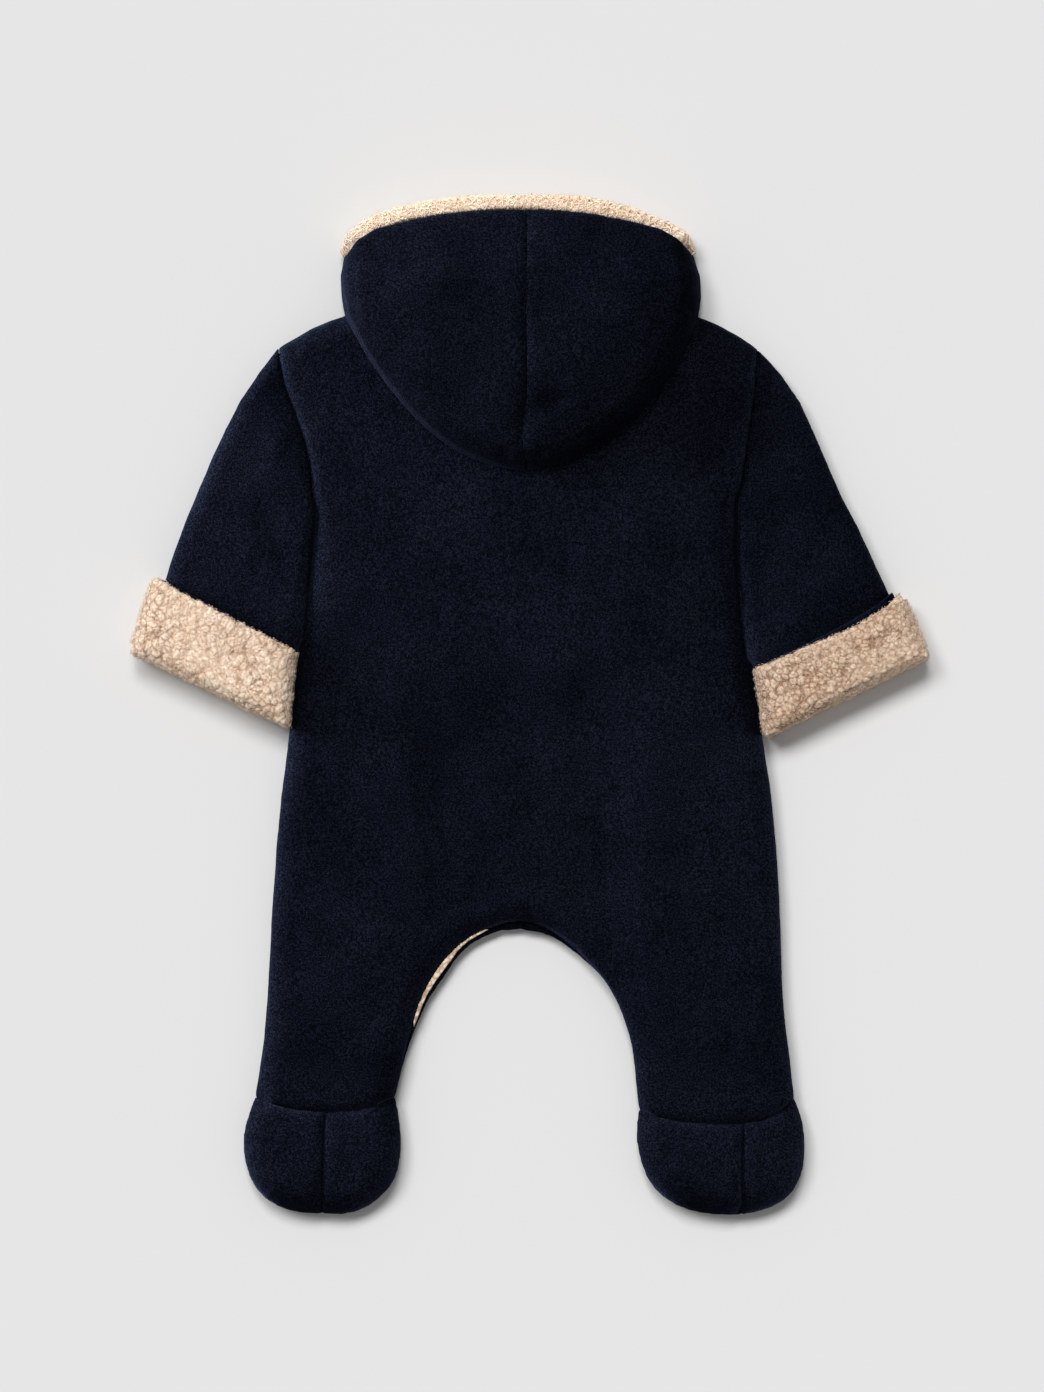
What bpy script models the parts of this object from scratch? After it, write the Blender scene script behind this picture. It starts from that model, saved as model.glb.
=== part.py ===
"""A baby's fleece pramsuit lying face down, back up. Metres, +Z up, rest plane z = 0, +Y to the hood.

Tables are in drawing units: one unit is 0.7 mm, x to the right and y down. Left and right are the
wearer's, which a back view also has on its left and right. Heights are in mm above the rest plane.

Pieces of the body lie in layers over one shared triangulation, so stacked faces never cross:
front panels at the bottom, the back on them, the hood's shell and lining on the back. A sleeve is
a flat tube with its turned-up end around it.
"""

import bpy
import numpy as np
from mathutils import Vector
from mathutils.geometry import delaunay_2d_cdt

UNIT = 0.7  # mm per drawing unit
CENTRE = (530.0, 706.0)  # drawing point at the origin

GAP = 0.3  # mm between pieces
SPACING = 14.0  # mm between points of an outline
GRID = 25.0  # mm between points inside a panel
FRONT_TOP, BACK_BOTTOM = 10.2, 10.5  # mm: the plane where the panels lie on each other
BACK_TOP = 21.0
EDGE_UP, EDGE_DOWN = 12.4, 8.3  # mm: top of the back and underside of the front at a side seam
SHELL = 2.6  # mm, the hood's fleece
HOOD_TOP = 41.0
HOOD_EDGE = 30.0  # mm, the hood's height at its open edge

NAVY = (0.012, 0.016, 0.040, 1)
CREAM = (0.72, 0.58, 0.44, 1)

# ---- outlines, each a smooth curve through its rows (x, y). A name ending in left or right is the
# wearer's. "hidden" is the neck and the shoulder under the hood; "band" is the pile past its edge ----
CURVES = {
    "hidden_left": [(525, 277), (480, 272), (455, 264), (400, 290), (345, 316)],
    "shoulder_left": [(345, 316), (319, 325), (280, 347)],
    "armhole_left": [(280, 347), (283, 375), (306, 441), (313, 482), (315, 511)],
    "side_left": [(315, 511), (312, 558), (306, 605), (299, 655), (292, 710), (288, 750),
                  (281, 800), (276, 860), (272, 920), (269, 980), (264, 1040), (255, 1099)],
    "ankle_left": [(255, 1099), (290, 1109), (329, 1112), (365, 1108), (394, 1098)],
    "leg_left": [(394, 1098), (401, 1070), (408, 1040), (420, 1000), (430, 980), (444, 960),
                 (465, 940), (485, 929), (508, 922)],
    "leg_left_front": [(394, 1098), (401, 1070), (410, 1040), (420, 1016), (430, 996), (449, 969),
                       (460, 953), (470, 944), (479, 938.5), (494, 932.5)],
    "arch": [(508, 922), (523, 921), (541, 925), (572, 946), (605, 980)],
    "arch_front": [(494, 932.5), (508, 930.5), (524, 930), (540, 932.5), (553, 936.5), (572, 949),
                   (590, 964.5), (605, 980)],
    "leg_right": [(605, 980), (617, 1000), (631, 1040), (637, 1080), (640, 1110)],
    "ankle_right": [(640, 1110), (670, 1120), (735, 1124), (767, 1119), (794, 1099)],
    "side_right": [(794, 1099), (789.5, 1060), (783.5, 1010), (779.5, 920), (775, 840), (769, 780),
                   (763, 745), (759, 711), (752, 670), (747, 637), (741, 602), (737, 555), (738, 500)],
    "armhole_right": [(738, 500), (746, 447), (753, 397), (757, 349)],
    "shoulder_right": [(757, 349), (730, 331), (698, 317)],
    "hidden_right": [(698, 317), (655, 292), (600, 264), (565, 272), (525, 277)],
    "foot_left": [(255, 1099), (246, 1125), (244, 1150), (251, 1180), (267, 1200), (296, 1212), (326, 1214),
                  (352, 1213), (377, 1200), (394, 1180), (400, 1150), (399, 1125), (394, 1098)],
    "foot_right": [(640, 1110), (637, 1135), (643, 1166), (657, 1190), (684, 1208), (726, 1215),
                   (764, 1210), (789, 1196), (802, 1172), (805, 1145), (802, 1120), (794, 1099)],
    "heel_left": [(327, 1100), (324, 1125), (323, 1165), (322, 1230)],
    "heel_right": [(744, 1110), (743, 1140), (742, 1170), (742, 1230)],
    "hood_side_left": [(344, 256), (340, 275), (342, 298), (345, 315)],
    "hood_low": [(345, 315), (362, 347), (380, 374), (412, 414), (449, 446), (479, 461), (504, 468),
                 (529, 470), (554, 465), (579, 456), (616, 434), (653, 399), (678, 362), (698, 317)],
    "hood_side_right": [(698, 317), (701, 298), (700, 276), (693, 254)],
    "hood_top": [(693, 254), (669, 235), (643, 226), (582, 215), (515, 211), (448, 216), (398, 225),
                 (367, 235), (344, 256)],
    "band": [(344, 256), (343, 246), (350, 234), (375, 217), (416, 205), (470, 198), (521, 197),
             (575, 198), (616, 205), (650, 217), (687, 236), (693, 254)],
    "hood_centre": [(520, 150), (522, 197), (527, 215), (526, 290), (527, 400), (522, 439), (527, 470),
                    (527, 520)],
    "facing": [(413, 1030), (424, 1001), (435.5, 981), (447.5, 965), (460, 948), (470, 940), (481, 933.5),
               (490, 929)],
    "lap_left": [(541, 230), (540, 600), (533, 800), (521, 960)],
    "lap_right": [(507, 230), (506, 600), (503, 800), (497, 960)],
}

# ---- folds of the back: a soft line from one end to the other; height below zero is a trough ----
FOLDS = [  # name, x0, y0, x1, y1, half width mm, height mm
    ("trough_left", 440, 786, 456, 905, 11, -3.0),
    ("ridge_left", 412, 800, 428, 915, 11, 1.4),
    ("trough_right", 602, 800, 612, 985, 15, -3.4),
    ("ridge_right", 634, 790, 648, 1000, 11, 1.6),
    ("bulge", 520, 850, 530, 905, 20, 1.8),
    ("chest_dip", 500, 700, 560, 790, 26, -1.4),
    ("knee_left", 300, 1040, 372, 1052, 16, 1.2),
    ("knee_right", 680, 1046, 760, 1040, 16, 1.2),
]
HOOD_FOLDS = [
    ("crown_ridge", 440, 286, 520, 272, 12, 1.6),
    ("dart", 526, 420, 566, 398, 9, -2.2),
    ("left_dip", 400, 350, 470, 300, 26, -1.6),
    ("right_dip", 600, 300, 640, 360, 26, -1.4),
]

# ---- sleeves: stations from the armhole to the fold of the turned-up end ----
SLEEVES = {  # outer edge x, y; inner edge x, y; height of the middle mm, half thickness mm
    "left": [
        (280, 347, 315, 511, 10.5, 9.6),
        (247, 390, 312.5, 531, 10.2, 9.9),
        (221, 440, 310.5, 560, 10.2, 9.9),
        (199, 490, 307, 588, 11.2, 9.6),
        (179, 540, 302, 615, 14.0, 9.0),
        (167, 576, 287, 640, 16.6, 8.5),
        (141, 657, 277, 722, 17.7, 8.5),
    ],
    "right": [
        (757, 349, 738, 500, 10.5, 9.6),
        (792, 389, 738.5, 530, 10.2, 9.9),
        (816.5, 440, 738.6, 562, 10.2, 9.9),
        (838, 490, 742, 596, 11.2, 9.6),
        (864, 540, 747.5, 629, 14.0, 9.0),
        (886, 589, 764, 658, 16.6, 8.5),
        (919, 663, 777, 732, 17.7, 8.5),
    ],
}
SLEEVE_FOLDS = [  # along 0..1 from armhole to turned end, across 0..1, half width mm, height mm
    (0.30, 0.45, 16, 1.2), (0.48, 0.62, 14, -1.6), (0.62, 0.35, 15, 1.2),
]
TURN, PILE = 2.2, 6.0  # mm, fleece and sherpa of the turned-up end
SLEEVE_ROUND = 8.2  # mm, centre of the rounded edge, from the edge
# columns across a sleeve, mm from its edge: pile, turned fleece, sleeve
OUTSIDE = (-8.9, -7.6, -5.0, -2.8, -2.5, -0.3)
INSIDE = (0.0, 2.4, 8.5)
MIDDLE = 4
# rows along a turned-up end, mm before its fold: edge of the turned fleece, edge of the pile, ...
HEM, CAP = 11.0, 10.4  # the end of the sleeve inside the fold, and the pile that closes over it
CUFF_ROWS = (55.5, 53.5, 51.0, 31.0, HEM, CAP, 6.5, 2.2, 0.0)
SLEEVE_ROWS = 8  # free rows, from the armhole to the turned-up end
SLEEVE_RUN = 170.0  # mm, roughly how long they are


# ---------------------------------------------------------------- plane geometry
def to_mm(rows):
    rows = np.array(rows, float)
    return np.stack([(rows[:, 0] - CENTRE[0]) * UNIT, (CENTRE[1] - rows[:, 1]) * UNIT], 1)


def run(points, power=1.0):
    """How far along the line each point lies, or the sum of its steps to a power."""
    steps = np.linalg.norm(np.diff(points[:, :2], axis=0), axis=1)
    return np.concatenate([[0], np.cumsum(steps ** power)])


def spline(points, along):
    """Centripetal Catmull-Rom through the points, at the given shares of its length."""
    knots = run(points, 0.5)
    ends = np.concatenate([[2 * points[0] - points[1]], points, [2 * points[-1] - points[-2]]])
    steps = np.concatenate([[2 * knots[0] - knots[1]], knots, [2 * knots[-1] - knots[-2]]])
    dense = []
    for i in range(len(points) - 1):
        p, t = ends[i:i + 4], steps[i:i + 4]
        for u in np.linspace(t[1], t[2], 24, endpoint=i == len(points) - 2):
            a = [((t[k + 1] - u) * p[k] + (u - t[k]) * p[k + 1]) / (t[k + 1] - t[k]) for k in range(3)]
            b = [((t[k + 2] - u) * a[k] + (u - t[k]) * a[k + 1]) / (t[k + 2] - t[k]) for k in range(2)]
            dense.append(((t[2] - u) * b[0] + (u - t[1]) * b[1]) / (t[2] - t[1]))
    dense = np.array(dense)
    length = run(dense)
    want = np.asarray(along) * length[-1]
    return np.stack([np.interp(want, length, dense[:, k]) for k in range(dense.shape[1])], 1)


def curve(name, spacing=SPACING):
    points = to_mm(CURVES[name])
    return spline(points, np.linspace(0, 1, max(2, round(run(points)[-1] / spacing)) + 1))


def shift(line, by):
    """The open line moved to its left by so many mm."""
    course = np.gradient(line, axis=0)
    course /= np.linalg.norm(course, axis=1)[:, None]
    return line + by * np.stack([-course[:, 1], course[:, 0]], 1)


def chain(*lines):
    """One closed outline out of lines that meet end to end."""
    points = np.concatenate(lines)
    keep = np.linalg.norm(points - np.roll(points, 1, axis=0), axis=1) > 0.05
    return points[keep]


def distance(points, line):
    """From each point to the open line."""
    a, b = line[:-1], line[1:]
    along = b - a
    best = np.full(len(points), np.inf)
    for start, step in zip(a, along):
        share = np.clip(((points - start) @ step) / max(step @ step, 1e-12), 0, 1)
        best = np.minimum(best, np.linalg.norm(points - start - share[:, None] * step, axis=1))
    return best


def inside(points, outline):
    x, y = points[:, 0], points[:, 1]
    found = np.zeros(len(points), bool)
    for (x0, y0), (x1, y1) in zip(outline, np.roll(outline, -1, axis=0)):
        if y0 != y1:
            found ^= ((y0 > y) != (y1 > y)) & (x < x0 + (y - y0) * (x1 - x0) / (y1 - y0))
    return found


def rounded(gap, width):
    """0 at an edge, 1 from width on, as a quarter of an ellipse."""
    return np.sqrt(1 - (1 - np.clip(gap / width, 0, 1)) ** 2)


def smooth(share):
    share = np.clip(share, 0, 1)
    return share * share * (3 - 2 * share)


def folded(points, folds):
    """The height that the folds add."""
    total = np.zeros(len(points))
    for _, x0, y0, x1, y1, width, height in folds:
        total += height * np.exp(-(distance(points, to_mm([(x0, y0), (x1, y1)])) / width) ** 2)
    return total


# ---------------------------------------------------------------- solids out of layers
def layered(points, triangles, kinds, levels, filled):
    """A closed mesh. Triangle i is solid in slots filled[kinds[i]]; slot k lies from level k to level k + 1."""
    number, corners, faces = {}, [], []

    def corner(i, k):
        if (i, k) not in number:
            number[i, k] = len(corners)
            corners.append((points[i][0] / 1000, points[i][1] / 1000, levels[k][i] / 1000))
        return number[i, k]

    slots = [filled[kind] for kind in kinds]
    beside = {}
    for t, (a, b, c) in enumerate(triangles):
        for edge in ((a, b), (b, c), (c, a)):
            beside[edge] = t
    for t, (a, b, c) in enumerate(triangles):
        for k in slots[t]:
            if k + 1 not in slots[t]:
                faces.append((corner(a, k + 1), corner(b, k + 1), corner(c, k + 1)))
            if k - 1 not in slots[t]:
                faces.append((corner(a, k), corner(c, k), corner(b, k)))
        for i, j in ((a, b), (b, c), (c, a)):
            other = beside.get((j, i))
            for k in slots[t]:
                if other is None or k not in slots[other]:
                    faces.append((corner(i, k), corner(j, k), corner(j, k + 1)))
                    faces.append((corner(i, k), corner(j, k + 1), corner(i, k + 1)))
    return corners, faces


def solid(name, mesh, colour):
    data = bpy.data.meshes.new(name)
    data.from_pydata(mesh[0], [], mesh[1])
    data.validate()
    made = bpy.data.objects.new(name, data)
    bpy.context.scene.collection.objects.link(made)
    material = bpy.data.materials.new(name)
    material.use_nodes = True
    shader = material.node_tree.nodes["Principled BSDF"]
    shader.inputs["Base Color"].default_value = colour
    shader.inputs["Roughness"].default_value = 0.9
    data.materials.append(material)


for old in list(bpy.data.objects):
    bpy.data.objects.remove(old)

# ---------------------------------------------------------------- the body, the feet and the hood
CLOSE = ("armhole", "leg", "arch", "foot", "heel", "centre", "facing")  # outlines with more points
line = {name: curve(name, 9.5 if any(word in name for word in CLOSE) else SPACING) for name in CURVES}

FAR = 500.0


def body(leg, arch):
    """The body's outline round one of its layers, with this inner left leg and this crotch."""
    return chain(line["hidden_left"], line["shoulder_left"], line["armhole_left"], line["side_left"][:-1],
                 shift(line["ankle_left"], 0.2), line[leg][1:], line[arch], line["leg_right"][:-1],
                 shift(line["ankle_right"], 0.2), line["side_right"][1:], line["armhole_right"],
                 line["shoulder_right"], line["hidden_right"])


back, front = body("leg_left", "arch"), body("leg_left_front", "arch_front")
beside_leg = shift(line["leg_left"], -0.4)[::-1]
low_end, high_end = line["facing"][0][1], line["facing"][-1][1]
facing = chain(line["facing"], beside_leg[(beside_leg[:, 1] > low_end) & (beside_leg[:, 1] < high_end)])
foot = {side: chain(shift(line[f"ankle_{side}"], -0.2)[::-1], line[f"foot_{side}"][1:-1])
        for side in ("left", "right")}
hood_edge = np.concatenate([line["hood_side_left"], line["hood_low"][1:], line["hood_side_right"][1:]])
hood = chain(hood_edge, line["hood_top"])
band = chain(shift(line["hood_top"], -0.4)[::-1], line["band"][::-1][1:-1])
floor = chain(line["hood_top"][::-1], shift(line["band"], -2.0)[::-1][1:-1])


def within(by):
    """The region inside the hood's sides and lower edge by so many mm, open at the top."""
    inner = shift(hood_edge, by)
    return np.concatenate([[(inner[0][0] + 1.5, FAR)], inner, [(inner[-1][0] - 1.5, FAR)]])


def half(middle, side, by):
    """The half plane left or right of a line that runs down, less by mm."""
    moved = shift(middle, -by if side == "left" else by)
    reach = -FAR if side == "left" else FAR
    corners = [(moved[-1][0], -FAR), (reach, -FAR), (reach, FAR), (moved[0][0], FAR)]
    return np.concatenate([moved, corners])


RIM, LINING = within(3.0), within(3.4)
closed = [back, front, facing, foot["left"], foot["right"], hood, band, floor]
open_lines = [RIM[1:-1], LINING[1:-1]]
open_lines += [shift(line[name], by) for name in ("hood_centre", "heel_left", "heel_right")
               for by in (0.2, -0.2)]
open_lines += [shift(line[name], by) for name in ("lap_left", "lap_right") for by in (0.0, 0.4)]

vertices, edges = [], []
for outline, joined in [(o, True) for o in closed] + [(o, False) for o in open_lines]:
    first, count = len(vertices), len(outline)
    vertices += [tuple(p) for p in outline]
    edges += [(first + i, first + (i + 1) % count) for i in range(count if joined else count - 1)]

# points that carry the rounded edges, the folds and the broad form
walls = np.array(vertices)
loose = []
ROUND = [  # line, side it rounds to, widths
    (["hidden_left", "hidden_right"], 1, (5.0,)),
    (["hidden_left", "hidden_right"], -1, (10.0,)),
    (["shoulder_left", "shoulder_right", "side_left", "side_right"], 1, (1.7, 5.5, 12.0)),
    (["leg_left", "arch", "leg_right"], 1, (1.7, 5.5, 12.0)),
    (["leg_left_front", "arch_front"], 1, (1.7, 5.5, 12.0)),
    (["armhole_left", "armhole_right", "ankle_left", "ankle_right"], 1, (3.0, 7.0)),
    (["ankle_left", "ankle_right"], -1, (3.0, 7.0)),
    (["foot_left", "foot_right"], 1, (1.7, 5.5, 12.0)),
    (["heel_left", "heel_right", "hood_centre"], 1, (3.0, 7.0)),
    (["heel_left", "heel_right", "hood_centre"], -1, (3.0, 7.0)),
    (["hood_low"], 1, (2.5, 7.0, 14.0)),
    (["hood_side_left", "hood_side_right"], 1, (6.5, 14.0)),
    (["hood_top"], 1, (2.5, 6.5)),
    (["hood_top"], -1, (2.6, 6.0)),
]
for names, side, widths in ROUND:
    for name in names:
        for width in widths:
            moved = shift(line[name], side * width)
            true = distance(moved, line[name]) > 0.93 * width
            loose.append(moved[true])
for _, x0, y0, x1, y1, width, _ in FOLDS + HOOD_FOLDS:
    ends = to_mm([(x0, y0), (x1, y1)])
    steps = np.linspace(0, 1, max(2, round(np.linalg.norm(ends[1] - ends[0]) / 15)) + 1)
    spine = ends[0] + steps[:, None] * (ends[1] - ends[0])
    loose += [shift(spine, by) for by in (0, 0.9 * width, -0.9 * width)]
low, high = walls[:, :].min(axis=0), np.minimum(walls.max(axis=0), FAR - 1)
rows = np.arange(low[1], high[1], GRID * 0.866)
grid = np.array([(x + (i % 2) * GRID / 2, y) for i, y in enumerate(rows)
                 for x in np.arange(low[0], high[0], GRID)])

kept = np.zeros((0, 2))
all_lines = [np.concatenate([o, o[:1]]) for o in closed] + open_lines
for batch, clear, apart in ((np.concatenate(loose), 1.3, 1.3), (grid, 8.0, 11.0)):
    near = np.min([distance(batch, o) for o in all_lines], axis=0)
    for point in batch[near > clear]:
        if not len(kept) or np.linalg.norm(kept - point, axis=1).min() > apart:
            kept = np.concatenate([kept, [point]])
everything = np.concatenate([walls, kept])
plan = delaunay_2d_cdt([Vector(p) for p in everything], edges, [], 0, 1e-4)
points = np.array([(p.x, p.y) for p in plan[0]])
triangles = np.array([f for f in plan[2]])
a, b, c = (points[triangles[:, k]] for k in range(3))
turned = (b[:, 0] - a[:, 0]) * (c[:, 1] - a[:, 1]) - (b[:, 1] - a[:, 1]) * (c[:, 0] - a[:, 0]) < 0
triangles[turned] = triangles[turned][:, ::-1]
middles = (a + b + c) / 3


def at(outline):
    return inside(middles, outline)


def near(*names):
    return np.min([distance(points, line[name]) for name in names], axis=0)


def covers(outline):
    """The points inside the outline or on it."""
    return inside(points, outline) | (distance(points, np.concatenate([outline, outline[:1]])) < 0.02)


# ---- heights at every point
in_body = covers(back)
in_foot = covers(foot["left"]) | covers(foot["right"])
SIDES = ("shoulder_left", "shoulder_right", "side_left", "side_right", "leg_right")
free = near("leg_left", "arch", *SIDES)
free_front = near("leg_left_front", "arch_front", *SIDES)
feet = near("foot_left", "foot_right")
seams = near("armhole_left", "armhole_right", "ankle_left", "ankle_right")
heels = near("heel_left", "heel_right")
hidden = near("hidden_left", "hidden_right")
up = CENTRE[1] - points[:, 1] / UNIT  # drawing y of every point
form = BACK_TOP + folded(points, FOLDS) * smooth((up - 485) / 40)
form += 2.2 * smooth((up - 1108) / 60) * in_foot
drop = np.max([
    (form - EDGE_UP) * (1 - rounded(free, 13.0)),
    (form - EDGE_UP) * (1 - rounded(feet, 13.0)) * in_foot,
    3.4 * (1 - rounded(seams, 7.5)),
    3.0 * (1 - rounded(heels, 7.5)) * in_foot,
    (form - EDGE_UP - 2) * (1 - rounded(hidden, 7.0)),
], axis=0)
back_top = form - drop
front_low = np.max([
    EDGE_DOWN * (1 - rounded(free_front, 13.0)),
    EDGE_DOWN * (1 - rounded(feet, 13.0)) * in_foot,
    1.4 * (1 - rounded(seams, 7.5)),
    (EDGE_DOWN - 2) * (1 - rounded(hidden, 7.0)),
], axis=0)
front_top = np.full(len(points), FRONT_TOP)
back_low = np.full(len(points), BACK_BOTTOM)
lap_low = front_low + 0.48 * (front_top - front_low)
lap_high = front_low + 0.52 * (front_top - front_low)

# ---- the hood: its shell lies on the back, and past the shoulders it comes down to the rest plane
rest = np.where(in_body, back_top + GAP, (EDGE_UP + 2 + GAP) * (1 - smooth(hidden / 10.0)))
hood_form = HOOD_EDGE + (HOOD_TOP - HOOD_EDGE) * smooth((up - 208) / 120) + folded(points, HOOD_FOLDS)
hood_drop = np.max([
    (hood_form - BACK_TOP - GAP - 3.0) * (1 - rounded(near("hood_low"), 20.0)),
    (hood_form - 9.0) * (1 - rounded(near("hood_side_left", "hood_side_right"), 15.0)),
    2.4 * (1 - rounded(near("hood_centre"), 7.5)),
    2.2 * (1 - rounded(near("hood_top"), 6.5)),
], axis=0)
shell_top = np.maximum(hood_form - hood_drop, rest + 3.4)
shell_low = shell_top - SHELL
under_top = rest + SHELL
lining_low = under_top + GAP
pile_top = HOOD_EDGE + 1.2 - np.sum([
    (HOOD_EDGE - 7.0) * (1 - rounded(near("band"), 8.5)),
    3.4 * (1 - rounded(near("hood_top"), 3.0)),
    2.5 * (1 - rounded(near("hood_centre"), 6.0)),
], axis=0)
lining_top = np.where(covers(hood), shell_low - GAP, np.maximum(pile_top, lining_low + 2.5))


def piece(name, colour, levels, filled, kinds):
    """kinds: region name -> boolean per triangle; a triangle in none is left out."""
    label = np.full(len(triangles), "", dtype=object)
    for kind, where in kinds.items():
        label[where] = kind
    chosen = np.flatnonzero(label != "")
    corners = [tuple(t) for t in triangles[chosen]]
    solid(name, layered(points, corners, label[chosen], levels, filled), colour)


ONE = {"all": (0,)}
piece("back", NAVY, [back_low, back_top], ONE, {"all": at(back)})


def left_of(name, by=0.0):
    """The front's triangles to the left of a lap's edge, or of that edge moved right by mm."""
    return at(front) & inside(middles, half(shift(line[name], by), "left", 0.0))


front_levels = [front_low, lap_low, lap_high, front_top]
FRONT = {"full": (0, 1, 2), "over": (0,), "under": (2,)}
piece("front_left", NAVY, front_levels, FRONT,
      {"full": left_of("lap_right"), "over": left_of("lap_left") & ~left_of("lap_right")})
piece("front_right", NAVY, front_levels, FRONT,
      {"full": at(front) & ~left_of("lap_left", 0.4),
       "under": left_of("lap_left", 0.4) & ~left_of("lap_right", 0.4)})
facing_top = np.full(len(points), BACK_BOTTOM + 2.8)
piece("leg_facing", CREAM, [back_low, facing_top], ONE, {"all": at(facing)})
for side in ("left", "right"):
    heel = line[f"heel_{side}"]
    piece(f"foot_{side}_front", NAVY, [front_low, front_top], ONE, {"all": at(foot[side])})
    for part, where in (("outer", side), ("inner", "right" if side == "left" else "left")):
        piece(f"foot_{side}_{part}", NAVY, [back_low, back_top], ONE,
              {"all": at(foot[side]) & inside(middles, half(heel, where, 0.2))})
    own = inside(middles, half(line["hood_centre"], side, 0.2))
    in_navy, in_rim, in_lining = at(hood), ~at(RIM), at(LINING)
    piece(f"hood_{side}", NAVY, [rest, under_top, shell_low, shell_top],
          {"rim": (0, 1, 2), "shell": (0, 2), "floor": (0,)},
          {"floor": own & at(floor) & ~in_navy,
           "shell": own & in_navy & ~in_rim,
           "rim": own & in_navy & in_rim})
    strip = inside(middles, chain(line["hood_top"], shift(line["hood_top"], -0.4)[::-1]))
    piece(f"hood_lining_{side}", CREAM, [lining_low, lining_top], ONE,
          {"all": own & (((in_navy | strip) & in_lining) | at(band))})


# ---------------------------------------------------------------- the sleeves and their turned-up ends
def sleeve(side):
    stations = np.array(SLEEVES[side], float)
    outer, inner = to_mm(stations[:, :2]), to_mm(stations[:, 2:4])
    sign = 1 if side == "left" else -1
    outer_run = run(outer)[-1]
    along = np.concatenate([np.linspace(0, 1 - CUFF_ROWS[0] / outer_run, SLEEVE_ROWS + 1)[:-1],
                            1 - np.array(CUFF_ROWS) / outer_run])
    both = np.concatenate([outer, inner, stations[:, 4:]], axis=1)
    table = spline(both, along)
    first_cuff = SLEEVE_ROWS
    arm = line[f"armhole_{side}"] if side == "left" else line["armhole_right"][::-1]
    arm = shift(arm, -0.8 * sign)
    ring = np.concatenate([back, back[:1]])

    columns = [("outer", d) for d in OUTSIDE + INSIDE]
    columns += [("share", k / (MIDDLE + 1)) for k in range(1, MIDDLE + 1)]
    columns += [("inner", d) for d in (OUTSIDE + INSIDE)[::-1]]
    nodes, depth, heights, halves, bump = [], [], [], [], []
    for row, (ox, oy, ix, iy, middle, thick) in enumerate(table):
        o, i = np.array((ox, oy)), np.array((ix, iy))
        for _ in range(20):  # clear of the body's side
            if 0 < row < first_cuff and (inside(i[None], back)[0] or distance(i[None], ring)[0] < 0.8):
                i = i + 0.2 * (o - i) / np.linalg.norm(o - i)
        width = np.linalg.norm(i - o)
        ends = (INSIDE[-1] / width, 1 - INSIDE[-1] / width)
        for kind, value in columns:
            t = {"outer": value / width, "inner": 1 - value / width,
                 "share": ends[0] + (ends[1] - ends[0]) * value}[kind]
            place = o + t * (i - o)
            if 0 <= t <= 1 and row < first_cuff:  # the armhole's curve fades out along the sleeve
                fade = 1 - smooth(row / (first_cuff - 3.0))
                if fade > 0:
                    chord = arm[0] + t * (arm[-1] - arm[0])
                    place = place + fade * (spline(arm, [t])[0] - chord)
                    if row == 0:
                        place = spline(arm, [t])[0]
            nodes.append(place)
            depth.append(min(t, 1 - t) * width)
            heights.append(middle)
            halves.append(thick)
            share = row / first_cuff
            bump.append(0.0 if row >= first_cuff else sum(
                h * np.exp(-(((share - s) * SLEEVE_RUN) ** 2 + ((t - c) * width) ** 2) / w ** 2)
                for s, c, w, h in SLEEVE_FOLDS))
    nodes, depth, heights, halves, bump = map(np.array, (nodes, depth, heights, halves, bump))
    wide, high = len(columns), len(table)
    # distance to the fold of the turned-up end, and to its open edge
    to_fold = np.repeat(np.concatenate([np.full(first_cuff, 99.0), CUFF_ROWS]), wide)
    from_edge = CUFF_ROWS[1] - np.array(CUFF_ROWS)
    to_edge = np.repeat(np.concatenate([np.full(first_cuff, 0.0), from_edge]), wide)

    def reach(radius):
        """Half the height of a ring of this radius, rounded at the sides."""
        off = np.clip(SLEEVE_ROUND - depth, 0, None)
        return np.sqrt(np.clip(radius ** 2 - off ** 2, 4.0, None))

    cloth = halves - 0.15
    slit = np.where(np.arange(len(nodes)) // wide < first_cuff, 0.15, 0.2)
    own = reach(cloth) + bump * rounded(depth, 10.0)
    from_armhole = np.repeat(np.arange(high), wide) * SLEEVE_RUN / first_cuff
    armhole = 2.6 * (1 - rounded(from_armhole, 12.0))
    sleeve_low = np.maximum(heights - own, 0.0)
    sleeve_top = heights + own - armhole
    turn_low, turn_top = sleeve_low - GAP, sleeve_top + GAP
    outer_turn = np.maximum(reach(cloth + GAP + TURN), own + GAP + 1.2)
    turn_floor, turn_roof = heights - outer_turn, heights + outer_turn
    whole = reach(cloth + 2 * GAP + TURN + PILE)
    end = rounded(to_fold + 0.35, 11.0)
    edge = 1 - 0.10 * (1 - rounded(to_edge, 3.0))
    whole = np.maximum(np.minimum(whole, (cloth + 2 * GAP + TURN + PILE) * end) * edge, 2.0)
    ring_low = np.maximum(heights - whole, 0.0)
    ring_top = heights + whole
    slit_low, slit_top = heights - slit, heights + slit
    ringed = (depth > -2.9) & (to_fold > 10.3)  # beside the turned fleece, else inside the pile
    pile_low = np.where(ringed, turn_floor - GAP, (ring_low + slit_low) / 2)
    pile_top = np.where(ringed, turn_roof + GAP, (ring_top + slit_top) / 2)
    ring_top = np.where(ringed, np.maximum(ring_top, pile_top + 1.5), ring_top)
    ring_low = np.where(ringed, np.minimum(ring_low, pile_low - 1.5), ring_low)

    cells, where = [], []
    for r in range(high - 1):
        for k in range(wide - 1):
            p, q, s, t = r * wide + k, r * wide + k + 1, (r + 1) * wide + k + 1, (r + 1) * wide + k
            two = [(p, t, s), (p, s, q)] if (r + k) % 2 else [(p, t, q), (q, t, s)]
            cells += two if sign > 0 else [(a, c, b) for a, b, c in two]
            where += [(r, k)] * 2
    edge_k = {d: i for i, d in enumerate(OUTSIDE + INSIDE)}

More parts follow.
